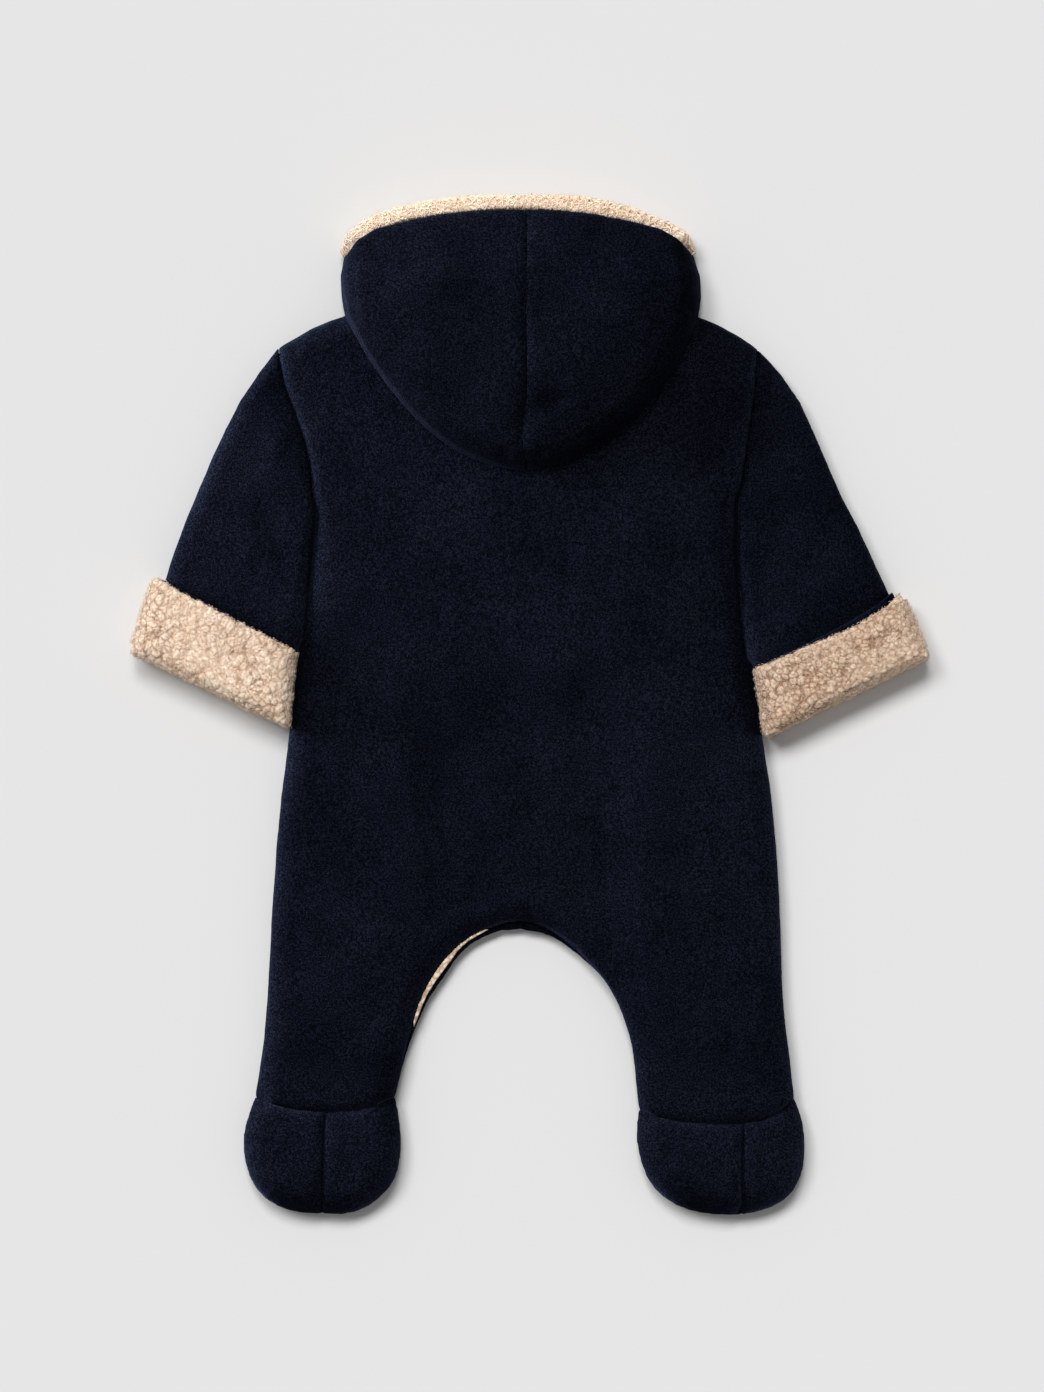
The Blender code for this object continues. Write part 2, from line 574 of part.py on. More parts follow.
    def band_of(k):
        """How far in a cell lies, counted in columns from the nearer side."""
        return min(k, wide - 2 - k)

    def made(name, colour, levels, filled, kind_of):
        kinds = [kind_of(r, band_of(k)) for r, k in where]
        chosen = [i for i, kind in enumerate(kinds) if kind]
        mesh = layered(nodes, [cells[i] for i in chosen], [kinds[i] for i in chosen], levels, filled)
        solid(name, mesh, colour)

    hem = first_cuff + CUFF_ROWS.index(HEM)
    cap = first_cuff + CUFF_ROWS.index(CAP)
    turn_row = first_cuff
    pile_row = first_cuff + 1

    made(f"sleeve_{side}", NAVY, [sleeve_low, slit_low, slit_top, sleeve_top],
         {"rim": (0, 1, 2), "cloth": (0, 2)},
         lambda r, k: None if r >= hem or k < edge_k[0.0] else "rim" if k < edge_k[2.4] else "cloth")
    made(f"cuff_turn_{side}", NAVY, [turn_floor, turn_low, turn_top, turn_roof],
         {"rim": (0, 1, 2), "cloth": (0, 2)},
         lambda r, k: None if not turn_row <= r < hem or k < edge_k[-2.5]
         else "rim" if k < edge_k[-0.3] else "cloth")
    made(f"cuff_sherpa_{side}", CREAM,
         [ring_low, pile_low, slit_low, slit_top, pile_top, ring_top],
         {"rim": (0, 1, 2, 3, 4), "cloth": (0, 4), "mouth": (0, 1, 3, 4)},
         lambda r, k: None if r < pile_row
         else "rim" if k < edge_k[-2.8] or (r >= cap and k < edge_k[2.4])
         else "mouth" if r >= cap
         else "cloth")


for side in ("left", "right"):
    sleeve(side)
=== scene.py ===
"""The looks of a baby's fleece pramsuit that lies face down: cloth, pile, floor, light and camera.

Metres, +Z up, floor z = 0. Tables are in drawing units: one unit is 0.7 mm, x to the right and y down,
as in the part's own outlines. Left and right are the wearer's, which a back view also has on its left
and right.
"""

import itertools

import bmesh
import bpy
import numpy as np
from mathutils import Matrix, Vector
from mathutils.bvhtree import BVHTree
from mathutils.kdtree import KDTree


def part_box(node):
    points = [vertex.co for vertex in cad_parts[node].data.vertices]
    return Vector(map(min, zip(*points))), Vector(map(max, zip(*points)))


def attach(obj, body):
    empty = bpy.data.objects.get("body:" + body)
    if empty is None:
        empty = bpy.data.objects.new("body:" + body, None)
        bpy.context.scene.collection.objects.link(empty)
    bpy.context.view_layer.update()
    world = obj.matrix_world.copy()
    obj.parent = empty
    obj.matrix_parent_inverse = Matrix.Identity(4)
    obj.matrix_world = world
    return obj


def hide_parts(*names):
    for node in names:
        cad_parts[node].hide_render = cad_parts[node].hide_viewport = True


MM = 0.001
UNIT = 0.7 * MM  # one drawing unit
CENTRE = (530.0, 706.0)  # drawing point at the origin

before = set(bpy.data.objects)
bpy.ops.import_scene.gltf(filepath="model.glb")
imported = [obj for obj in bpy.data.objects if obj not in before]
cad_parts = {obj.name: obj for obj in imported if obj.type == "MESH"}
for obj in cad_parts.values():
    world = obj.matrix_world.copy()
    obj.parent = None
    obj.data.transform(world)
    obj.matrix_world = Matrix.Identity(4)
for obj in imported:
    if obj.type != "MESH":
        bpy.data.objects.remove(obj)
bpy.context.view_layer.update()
SIDES = ("left", "right")

# ---- camera: straight down, with the drawing's scale in a plane through the middle of the cloth
FRAME_CENTRE = (522.0, 696.0)  # drawing point in the middle of the picture
FRAME_UNITS = 1392  # drawing units over the picture's long side
CAMERA_HEIGHT = 4.0  # over the plane that has the drawing's scale
SCALE_PLANE = 0.018  # how high that plane is
CAMERA_NEAR, CAMERA_FAR = 0.1, 60.0
SENSOR = 36.0  # mm

# ---- mesh sizes
VOXEL = {"back": 2.3, "front": 2.8, "sleeve": 1.7, "hood": 1.4, "heel": 1.4, "toe": 1.8, "turn": 1.2,
         "pile": 0.8, "lining": 1.2, "facing": 0.7}  # mm
HIDDEN_SHARE = 0.10  # of its faces that a piece keeps where it lies on another
SPARE = {"hood": 0.6 * MM}  # how far out a thin wall's sides stand while it is remeshed, or it tears
TALL = 3.0  # wide panels are stretched upwards while they are remeshed, so thin edges survive
SAME_PLACE = 0.01 * MM  # corners of the solid that are nearer than this are one
FLOOR_GAP = 0.15 * MM  # nothing reaches lower than this
TINY = 1e-9  # against division by zero
PULL = 0.5  # in smoothing, how far a value goes towards the mean of its neighbours
PUSH = 0.515  # and how far it goes back where sizes have to stay


# ---- plane and space helpers
def to_m(rows):
    rows = np.atleast_2d(np.array(rows, float))
    return np.stack([(rows[:, 0] - CENTRE[0]) * UNIT, (CENTRE[1] - rows[:, 1]) * UNIT], 1)


def smooth(t):
    t = np.clip(t, 0, 1)
    return t * t * (3 - 2 * t)


def unit(vectors):
    return vectors / np.maximum(np.linalg.norm(vectors, axis=1), TINY)[:, None]


def looking_up(out, over=0.5, start=0.0):
    """From 0 on the upright sides to 1 on the upper faces."""
    return smooth((out[:, 2] - start) / over)


def span(points, line):
    """Distance in plan from each point to a line of points, and where along the line its nearest place is.

    The second goes from 0 at the start of the line to 1 at its end.
    """
    best = np.full(len(points), np.inf)
    along = np.zeros(len(points))
    steps = np.linalg.norm(np.diff(line, axis=0), axis=1)
    start = np.concatenate([[0], np.cumsum(steps)])
    for k, (a, b) in enumerate(zip(line[:-1], line[1:])):
        t = np.clip((points[:, :2] - a) @ (b - a) / max(steps[k] ** 2, TINY ** 2), 0, 1)
        gap = np.linalg.norm(points[:, :2] - a - t[:, None] * (b - a), axis=1)
        nearer = gap < best
        best = np.where(nearer, gap, best)
        along = np.where(nearer, (start[k] + t * steps[k]) / start[-1], along)
    return best, along


def lattice(cells, seed):
    """A repeatable number from 0 to 1 for each whole-numbered cell."""
    x, y, z = cells[:, 0], cells[:, 1], cells[:, 2]
    mixed = (x * 73856093) ^ (y * 19349663) ^ (z * 83492791) ^ (seed * 7919 * 104729)
    mixed = (mixed ^ (mixed >> 15)) & 0x7FFFFFFF
    mixed = (mixed * 1103515245 + 12345) & 0x7FFFFFFF
    mixed = (mixed ^ (mixed >> 13)) & 0x7FFFFFFF
    mixed = (mixed * 1274126177 + 911) & 0x7FFFFFFF
    return (mixed >> 7) / float(0x7FFFFFFF >> 7)


def waves(points, cell, seed):
    """Smooth noise from -1 to 1 with features about one cell long."""
    scaled = points / cell
    base = np.floor(scaled).astype(np.int64)
    t = smooth(scaled - base)
    total = np.zeros(len(points))
    for corner in itertools.product((0, 1), repeat=3):
        weight = np.prod(np.where(corner, t, 1 - t), axis=1)
        total += weight * lattice(base + corner, seed)
    return 2 * total - 1


def drift(points, cell, seed):
    """A direction for each point, changing softly from place to place."""
    return np.stack([waves(points, cell, seed + k) for k in (1, 2, 3)], 1)


def lumps(points, cell, seed):
    """Scattered centres, one in each cell.

    Gives each point's distance in cells to the nearest one, how much farther the next one is, and the
    nearest one's own number from 0 to 1.
    """
    scaled = points / cell
    base = np.floor(scaled).astype(np.int64)
    first = np.full(len(points), np.inf)
    second = np.full(len(points), np.inf)
    own = np.zeros(len(points))
    for corner in itertools.product((-1, 0, 1), repeat=3):
        cells = base + corner
        centre = cells + np.stack([lattice(cells, seed + k) for k in (1, 2, 3)], 1)
        gap = np.linalg.norm(scaled - centre, axis=1)
        nearer = gap < first
        second = np.where(nearer, first, np.minimum(second, gap))
        own = np.where(nearer, lattice(cells, seed + 4), own)
        first = np.where(nearer, gap, first)
    return first, second - first, own


def domes(near, radius=1.0):
    """Half balls round the centres that lumps gives: 1 in their middle, 0 from radius cells on."""
    return np.sqrt(np.clip(1 - (near / radius) ** 2, 0, 1))


# ---- mesh helpers
def linked(name, data):
    made = bpy.data.objects.new(name, data)
    bpy.context.scene.collection.objects.link(made)
    return made


def places(obj):
    co = np.empty(len(obj.data.vertices) * 3)
    obj.data.vertices.foreach_get("co", co)
    return co.reshape(-1, 3)


def place(obj, points):
    obj.data.vertices.foreach_set("co", np.ascontiguousarray(points, np.float64).ravel())
    obj.data.update()


def normals(obj):
    out = np.empty(len(obj.data.vertices) * 3, np.float32)
    obj.data.vertices.foreach_get("normal", out)
    return out.reshape(-1, 3).astype(float)


def joined_edges(obj):
    ends = np.empty(len(obj.data.edges) * 2, np.int32)
    obj.data.edges.foreach_get("vertices", ends)
    return ends.reshape(-1, 2)


def mean_of_neighbours(values, ends, count):
    out = np.empty_like(values)
    for k in range(values.shape[1]):
        out[:, k] = np.bincount(ends[:, 0], values[ends[:, 1], k], len(values))
        out[:, k] += np.bincount(ends[:, 1], values[ends[:, 0], k], len(values))
    return out / count[:, None]


def relaxed(values, ends, rounds, keep_size=True):
    """Values smoothed over the mesh; keep_size alternates with a push back, so that shapes don't shrink."""
    values = values.astype(float)
    count = np.maximum(np.bincount(ends.ravel(), minlength=len(values)), 1).astype(float)
    for _ in range(rounds):
        values = values + PULL * (mean_of_neighbours(values, ends, count) - values)
        if keep_size:
            values = values - PUSH * (mean_of_neighbours(values, ends, count) - values)
    return values


def applied(obj):
    """Puts what the object's modifiers make of its mesh in the mesh's place."""
    graph = bpy.context.evaluated_depsgraph_get()
    mesh = bpy.data.meshes.new_from_object(obj.evaluated_get(graph))
    obj.modifiers.clear()
    obj.vertex_groups.clear()
    obj.data = mesh
    mesh.name = obj.name


def evened(obj, voxel, tall=1.0):
    """Rebuilds the object's surface in even small faces; tall stretches it upwards meanwhile."""
    points = places(obj)
    points[:, 2] *= tall
    place(obj, points)
    modifier = obj.modifiers.new("even faces", "REMESH")
    modifier.mode = "VOXEL"
    modifier.voxel_size = voxel * MM
    applied(obj)
    points = places(obj)
    points[:, 2] /= tall
    place(obj, points)


def remeshed(name, node, voxel, tall=1.0, spare=0.0):
    """A new object with the node's form in even small faces; spare thickens its walls meanwhile."""
    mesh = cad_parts[node].data.copy()
    mesh.materials.clear()
    work = bmesh.new()
    work.from_mesh(mesh)
    bmesh.ops.remove_doubles(work, verts=work.verts, dist=SAME_PLACE)
    work.to_mesh(mesh)
    work.free()
    obj = linked(name, mesh)
    place(obj, places(obj) + spare * normals(obj))
    evened(obj, voxel, tall)
    place(obj, places(obj) - spare * normals(obj))
    return obj


def shaded_smooth(obj):
    obj.data.polygons.foreach_set("use_smooth", np.ones(len(obj.data.polygons), bool))
    obj.data.update()


def without_faces(obj, unwanted):
    """Deletes the faces whose middle and normal the test picks, as at the hidden end of a tube."""
    work = bmesh.new()
    work.from_mesh(obj.data)
    work.normal_update()
    faces = list(work.faces)
    middles = np.array([f.calc_center_median() for f in faces])
    facing = np.array([f.normal for f in faces])
    gone = unwanted(middles, facing)
    bmesh.ops.delete(work, geom=[f for f, g in zip(faces, gone) if g], context="FACES")
    work.to_mesh(obj.data)
    work.free()


def gap_to(points, nodes, reach):
    """Distance from each point to the nearest of some CAD nodes, up to reach, and the nearest place."""
    gaps = np.full(len(points), reach)
    nearest = points.copy()
    for node in nodes:
        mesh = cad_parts[node].data
        tree = BVHTree.FromPolygons([v.co for v in mesh.vertices], [p.vertices for p in mesh.polygons])
        low, high = (np.array(c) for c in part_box(node))
        close = np.flatnonzero(((points > low - reach) & (points < high + reach)).all(axis=1))
        for i in close:
            where, _, _, gap = tree.find_nearest(points[i], reach)
            if where is not None and gap < gaps[i]:
                gaps[i] = gap
                nearest[i] = where
    return gaps, nearest


def thinned(obj, hidden):
    """Fewer faces at the points that hidden picks."""
    group = obj.vertex_groups.new(name="hidden")
    for i in np.flatnonzero(hidden):
        group.add([int(i)], 1.0, "REPLACE")
    modifier = obj.modifiers.new("fewer", "DECIMATE")
    modifier.vertex_group = group.name
    modifier.ratio = 1 - float(hidden.mean()) * (1 - HIDDEN_SHARE)
    applied(obj)


def attribute(obj, name, values):
    made = obj.data.attributes.new(name, "FLOAT", "POINT")
    made.data.foreach_set("value", values.astype(np.float32))


# ---- materials
class Nodes:
    """A short way to build a node material."""

    def __init__(self, name):
        self.material = bpy.data.materials.new(name)
        self.material.use_nodes = True
        self.tree = self.material.node_tree
        self.shader = self.tree.nodes["Principled BSDF"]
        self.where = self.add("ShaderNodeTexCoord").outputs["Object"]

    def add(self, kind, **settings):
        node = self.tree.nodes.new(kind)
        for key, value in settings.items():
            setattr(node, key, value)
        return node

    def link(self, source, target):
        self.tree.links.new(source, target)

    def noise(self, size, detail=2.0, roughness=0.5):
        """Noise from 0 to 1 with features about size metres long."""
        node = self.add("ShaderNodeTexNoise")
        node.inputs["Scale"].default_value = 1 / size
        node.inputs["Detail"].default_value = detail
        node.inputs["Roughness"].default_value = roughness
        self.link(self.where, node.inputs["Vector"])
        return node.outputs["Fac"]

    def ramp(self, value, stops):
        """Colours by value: stops of (position, colour)."""
        node = self.add("ShaderNodeValToRGB")
        while len(node.color_ramp.elements) < len(stops):
            node.color_ramp.elements.new(0.5)
        for element, (position, colour) in zip(node.color_ramp.elements, stops):
            element.position = position
            element.color = (*colour, 1)
        self.link(value, node.inputs["Fac"])
        return node.outputs["Color"]

    def mix(self, factor, a, b, blend="MIX"):
        node = self.add("ShaderNodeMix", data_type="RGBA", blend_type=blend)
        for socket, value in (("Factor", factor), ("A", a), ("B", b)):
            target = [s for s in node.inputs if s.name == socket and s.enabled][0]
            if isinstance(value, bpy.types.NodeSocket):
                self.link(value, target)
            else:
                target.default_value = value if socket == "Factor" else (*value, 1)
        return [s for s in node.outputs if s.enabled][0]

    def math(self, operation, a, b=0.0):
        node = self.add("ShaderNodeMath", operation=operation)
        for k, value in enumerate((a, b)):
            if isinstance(value, bpy.types.NodeSocket):
                self.link(value, node.inputs[k])
            else:
                node.inputs[k].default_value = value
        return node.outputs[0]

    def bump(self, height, distance, strength=1.0, under=None):
        node = self.add("ShaderNodeBump")
        node.inputs["Distance"].default_value = distance
        node.inputs["Strength"].default_value = strength
        self.link(height, node.inputs["Height"])
        if under is not None:
            self.link(under, node.inputs["Normal"])
        return node.outputs["Normal"]

    def matt(self, colour, specular=0.0, bumped=None, sheen=None):
        """The material as a wholly rough surface; sheen is its weight, its roughness and its tint."""
        self.link(colour, self.shader.inputs["Base Color"])
        if bumped is not None:
            self.link(bumped, self.shader.inputs["Normal"])
        settings = {"Roughness": 1.0, "Specular IOR Level": specular}
        if sheen is not None:
            weight, roughness, tint = sheen
            settings |= {"Sheen Weight": weight, "Sheen Roughness": roughness, "Sheen Tint": (*tint, 1)}
        for name, value in settings.items():
            self.shader.inputs[name].default_value = value
        return self.material


NAVY_NAP = [  # colours from between the fibres to their tips
    (0.39, (0.0006, 0.0007, 0.0012)), (0.50, (0.0015, 0.0018, 0.0031)), (0.62, (0.0040, 0.0048, 0.0082)),
]
NAVY_WORN = [(0.34, (0.72, 0.72, 0.74)), (0.66, (1.24, 1.24, 1.22))]  # wide darker and paler patches
NAP_SHARE = 0.84  # the rest of the colour follows the pills
NAVY_SHEEN = (0.040, 0.38, (0.46, 0.53, 0.92))


def fleece():
    """Brushed navy fleece: a short matted nap, small pills and a bluish sheen where it turns away."""
    n = Nodes("navy_fleece")
    nap = n.noise(1.15 * MM, 2.0, 0.6)
    pills = n.noise(2.6 * MM, 2.0, 0.5)
    worn = n.noise(52 * MM, 3.0, 0.5)
    nap_part = n.math("MULTIPLY", nap, NAP_SHARE)
    mixed = n.math("ADD", nap_part, n.math("MULTIPLY", pills, 1 - NAP_SHARE))
    colour = n.mix(1.0, n.ramp(mixed, NAVY_NAP), n.ramp(worn, NAVY_WORN), "MULTIPLY")
    bumped = n.bump(nap, 0.5 * MM, 1.0, n.bump(pills, 0.25 * MM, 0.7))
    return n.matt(colour, 0.0, bumped, NAVY_SHEEN)


CREAM_CURLS = [  # colours from the tips of the curls to the painted shade between them
    (0.08, (0.92, 0.77, 0.625)), (0.45, (0.70, 0.53, 0.40)), (0.98, (0.30, 0.175, 0.11)),
]
CREAM_PATCHES = [(0.32, (0.94, 0.89, 0.84)), (0.68, (1.0, 1.0, 1.0))]
CURL_SHARE = 0.30  # how much the material's small curls add to the painted shade that the mesh carries
CREAM_SHEEN = (0.20, 0.5, (1.0, 0.93, 0.82))


def sherpa():
    """Cream curly pile: pale tips, brown painted shade between the curls, fine fibres in the bump."""
    n = Nodes("cream_sherpa")
    # the painted shade that the pile's meshes carry: 0 on lit tips, up to 1 deep between curls
    low = n.add("ShaderNodeAttribute", attribute_name="crevice").outputs["Fac"]
    fibre = n.noise(0.6 * MM, 3.0, 0.6)
    curl = n.noise(1.8 * MM, 2.0, 0.5)
    patch = n.noise(16 * MM, 2.0, 0.5)
    small = n.math("MULTIPLY", n.math("SUBTRACT", curl, 0.5), CURL_SHARE)
    mixed = n.math("ADD", low, small)
    colour = n.mix(1.0, n.ramp(mixed, CREAM_CURLS), n.ramp(patch, CREAM_PATCHES), "MULTIPLY")
    bumped = n.bump(fibre, 0.16 * MM, 0.8, n.bump(curl, 0.25 * MM, 0.6))
    return n.matt(colour, 0.05, bumped, CREAM_SHEEN)


NAVY = fleece()
CREAM = sherpa()


# ---- fleece pieces
CREASES = {  # drawing x0, y0, x1, y1, half width mm, height mm; a trough is negative
    "back": [
        (430, 640, 458, 960, 17, -1.5), (404, 700, 424, 960, 16, 0.6), (594, 650, 622, 1030, 19, -1.7),
        (640, 690, 656, 1030, 16, 0.7), (478, 700, 505, 760, 14, -0.6), (560, 716, 548, 790, 12, 0.5),
        (330, 700, 352, 800, 15, 0.5), (706, 690, 690, 790, 15, 0.5), (352, 560, 372, 650, 18, 0.5),
        (300, 905, 330, 990, 12, 0.6), (742, 900, 716, 985, 12, -0.6), (660, 1060, 742, 1052, 8, -0.5),
        (286, 1046, 352, 1060, 8, -0.5), (330, 380, 352, 450, 12, -0.5), (716, 400, 700, 470, 12, -0.5),
    ],
    "sleeve_left": [
        (262, 420, 292, 470, 9, 0.7), (214, 500, 262, 540, 10, -0.7), (190, 545, 250, 590, 8, 0.6),
        (268, 520, 290, 590, 8, -0.6),
    ],
    "sleeve_right": [
        (778, 420, 760, 486, 9, 0.7), (838, 520, 800, 560, 10, -0.7), (858, 566, 800, 600, 8, 0.6),
        (768, 540, 762, 610, 8, -0.6),
    ],
    "hood_left": [
        (398, 286, 470, 262, 12, 0.6), (392, 380, 450, 350, 14, 0.6), (494, 458, 514, 450, 4, -0.9),
        (430, 320, 500, 380, 14, -0.5),
    ],
    "hood_right": [
        (529, 418, 566, 399, 6, -0.9), (560, 300, 640, 270, 14, 0.5), (600, 380, 640, 330, 12, -0.6),
        (540, 250, 560, 330, 12, -0.4),
    ],
    "front": [
        (420, 800, 436, 900, 10, -0.9), (620, 800, 628, 930, 10, -0.9), (380, 480, 420, 560, 14, -0.5),
    ],
}


CALMED = [  # as in CREASES: what takes away the solid's own short troughs and ridges over the legs
    (440, 786, 456, 905, 11, 2.0), (412, 800, 428, 915, 11, -0.9), (602, 800, 612, 985, 15, 2.3),
    (634, 790, 648, 1000, 11, -1.0),
]


def upward(out):
    """Where creases show: the upper faces, and a little less towards the sides."""
    return looking_up(out, 0.6, 0.15)


def calmed(points, out):
    """The solid's short folds flattened; longer and softer ones from CREASES take their place."""
    points = points.copy()
    up = upward(out)
    for x0, y0, x1, y1, width, height in CALMED:
        gap, _ = span(points, to_m([(x0, y0), (x1, y1)]))
        points[:, 2] += up * height * MM * np.exp(-((gap / (width * MM)) ** 2))
    return points


CREASE_SWELL = 0.35  # how much a crease's width changes along it
CREASE_TURN, CREASE_SHIFT = 5.0, 0.01  # radians of that change: end to end, and for each unit of x
CREASE_END = 0.03  # share of its length at each end that doesn't fade further
CREASE_FADE = 0.8  # less keeps it strong for longer


def creased(points, rows):
    """How much soft troughs and ridges raise each place."""
    rise = np.zeros(len(points))
    for x0, y0, x1, y1, width, height in rows:
        a, b = to_m([(x0, y0), (x1, y1)])
        gap, along = span(points, np.array([a, b]))
        swell = 1 + CREASE_SWELL * np.sin(CREASE_TURN * along + CREASE_SHIFT * x0)
        fade = np.sin(np.pi * np.clip(along, CREASE_END, 1 - CREASE_END)) ** CREASE_FADE
        rise += height * MM * fade * np.exp(-((gap / (width * MM * swell)) ** 2))
    return rise


UNEVEN = [(34 * MM, 0.45), (9 * MM, 0.22), (2.6 * MM, 0.10)]  # how long and, in mm, how high


def wavy(points, seed):
    """The unevenness of soft cloth and its matted nap, in metres."""
    return MM * sum(height * waves(points, size, seed + k) for k, (size, height) in enumerate(UNEVEN))


INFLATE = 0.35 * MM  # soft cloth stands a little proud of its plain solid
MEET = 1.9 * MM  # cloth this near its neighbour is drawn to it
MEET_GAIN = 1.2  # more than 1 also draws what is almost there all the way
OVERLAP = 0.25 * MM  # how far the two then go into each other
SEAM_DIP = {"hood": -0.9 * MM}  # how deep the valley is; less than 0 fills it
PLAIN_DIP = 0.8 * MM  # and for the other kinds
FRONTS = ("front_left", "front_right")
HEELS = ("foot_left_outer", "foot_left_inner", "foot_right_outer", "foot_right_inner")
TOES = ("foot_left_front", "foot_right_front")
SEAMS = {  # what each kind of piece is sewn to, or lies against along a visible edge
    "back": ("sleeve_left", "sleeve_right", *HEELS, *FRONTS),
    "front": ("back", *TOES, *FRONTS),
    "sleeve": ("back", *FRONTS),
    "hood": ("hood_left", "hood_right", "back"),
    "heel": ("back", *HEELS, *TOES),
    "toe": (*FRONTS, *HEELS),
    "turn": (),
}


def sewn(points, out, node, kind):
    """Points near a seam drawn to the piece beyond it, so that the two meet in a soft valley."""
    gaps, nearest = gap_to(points, [other for other in SEAMS[kind] if other != node], MEET)
    pull = smooth(MEET_GAIN * (1 - gaps / MEET))
    away = nearest - points
    length = np.maximum(np.linalg.norm(away, axis=1), TINY)
    points = points + away * (pull * (0.5 * gaps + OVERLAP) / length)[:, None]
    points[:, 2] -= SEAM_DIP.get(kind, PLAIN_DIP) * pull * looking_up(out, 0.6)
    return points


FLAT_ON = 0.5  # the body's layers lie on each other where a normal's height is more than this
CLOSE, BEHIND = 1.5 * MM, -0.35 * MM  # a piece this near hides a point, unless it is this far behind it


def unseen(points, out, node, kind):
    """Where a piece lies on another one and can be plain."""
    if kind in ("back", "heel"):
        return out[:, 2] < -FLAT_ON
    if kind in ("front", "toe"):
        return out[:, 2] > FLAT_ON
    under = {"hood": ("hood_lining_left", "hood_lining_right", "back"),
             "turn": (node.replace("cuff_turn", "cuff_sherpa"), node.replace("cuff_turn", "sleeve")),
             "pile": (node.replace("cuff_sherpa", "cuff_turn"), node.replace("cuff_sherpa", "sleeve")),
             "lining": ("hood_left", "hood_right", "back")}.get(kind)
    if under is None:
        return np.zeros(len(points), bool)
    gaps, nearest = gap_to(points, under, CLOSE)
    ahead = ((nearest - points) * out).sum(1)
    return (gaps < CLOSE) & (ahead > BEHIND)


WALL = 0.6  # a face whose normal's height is less than this is an upright side
EDGE_ROUNDS, EDGE_GAIN = 14, 3.0  # how wide and how firm a border beside the sides keeps its heights
CALM_ROUNDS = 26  # of smoothing for the rest


def calm_heights(obj, points, ends):
    """Takes the solid's facets out of the heights; the outlines and what is near them stay."""
    wall = (np.abs(normals(obj)[:, 2:3]) < WALL).astype(float)
    edge = np.clip(relaxed(wall, ends, EDGE_ROUNDS, False) * EDGE_GAIN, 0, 1)
    calm = relaxed(points[:, 2:3], ends, CALM_ROUNDS)
    points[:, 2:3] = calm + edge * (points[:, 2:3] - calm)


def fleece_piece(name, node, kind, seed, rows=(), rounds=14, flatten=True, shape=None, fuller=None):
    """A fleece panel with its node's form, smoothed, creased and slightly uneven.

    shape moves its points before the creases and fuller after the seams.
    """
    wide = kind in ("back", "front")
    obj = remeshed(name, node, VOXEL[kind], TALL if wide else 1.0, SPARE.get(kind, 0.0))
    ends = joined_edges(obj)
    points = places(obj)
    if flatten:
        calm_heights(obj, points, ends)
    points = relaxed(points, ends, rounds)
    place(obj, points)
    out = normals(obj)
    hidden = unseen(points, out, node, kind)
    if shape is not None:
        points = shape(points, out)
    points[:, 2] += upward(out) * creased(points, rows)
    points += out * (wavy(points, seed) + INFLATE)[:, None]
    points = sewn(points, out, node, kind)
    if fuller is not None:
        points = fuller(points, out)
    points[:, 2] = np.maximum(points[:, 2], FLOOR_GAP)
    place(obj, points)
    if hidden.any():
        thinned(obj, hidden)
    finished(obj, NAVY, "navy_fleece", node)
    return obj


def finished(obj, material, slot, *nodes):
    """Gives the piece smooth shading and its material, hides its nodes and hangs it from the root. slot is
    not used.
    """
    shaded_smooth(obj)
    obj.data.materials.clear()
    obj.data.materials.append(material)
    if nodes:
        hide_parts(*nodes)
    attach(obj, "root")


# ---- sleeves: where they go behind the body, and the right one's slanting open edge
INNER_EDGE = {  # drawing y, x of the sleeve's inner edge, how far the cloth goes on to the body
    "left": [(590, 306.5, 0), (604, 304, 2), (615, 302, 4), (628, 294.5, 9), (640, 287, 15), (652, 285.5, 14),
             (664, 284, 3), (676, 283, 0)],
    "right": [(600, 743, 0), (616, 745.5, 3), (629, 747.5, 5), (643, 755, 11), (658, 764, 16), (668, 766, 12),
              (680, 768, 2), (690, 770, 0)],
}
TUCK_WIDTH = 34 * MM  # the cloth that is spread to reach the body
TURNED = {  # open edge of the turned-up end: its inner and its outer end
    "left": ((299, 653), (154, 583)),
    "right": ((755, 667), (897, 590)),
}
SLANT = {  # share along the open edge from its inner end; how far the pile and the fleece lie back, mm
    "left": [(0, 0, 0), (1, 0, 0)],
    "right": [(0, 2.1, 1.4), (0.10, 3.6, 2.9), (0.25, 5.0, 4.2), (0.40, 6.5, 5.0), (0.57, 8.7, 5.9),
              (0.68, 9.8, 6.0), (0.80, 9.3, 5.2), (0.90, 8.4, 4.4), (1.0, 5.5, 2.6)],
}
SLANT_REACH = 38 * MM  # the shift fades out this far towards the fold
HEM = 2.0 * MM  # how far in the rolled hem is highest, and its half width
CORNERS = {  # corners of the pile's outline: x, y, radius mm
    "left": [(152, 579, 6.5), (130, 653, 6.0), (289, 731, 4.0)],
    "right": [(899, 590, 7.5), (931, 655, 6.5), (768, 738, 3.0)],
}


def way_to_fold(side):
    """The open edge's inner and outer end, and the unit directions along it and from it to the fold."""
    inner, outer = to_m(TURNED[side])
    along = (outer - inner) / np.linalg.norm(outer - inner)
    down = np.array([-along[1], along[0]]) * (1 if along[0] < 0 else -1)
    return inner, outer, along, down


def tucked(side):
    """The sleeve's inner edge spread until it goes behind the body's side."""
    rows = np.array(INNER_EDGE[side], float)
    sign = 1 if side == "left" else -1

    def shape(points, out):
        y = CENTRE[1] - points[:, 1] / UNIT
        edge = (np.interp(y, rows[:, 0], rows[:, 1]) - CENTRE[0]) * UNIT
        more = np.interp(y, rows[:, 0], rows[:, 2], left=0, right=0) * UNIT
        inside = sign * (edge - points[:, 0])
        points = points.copy()
        points[:, 0] += sign * more * smooth(1 - inside / TUCK_WIDTH)
        return points
    return shape


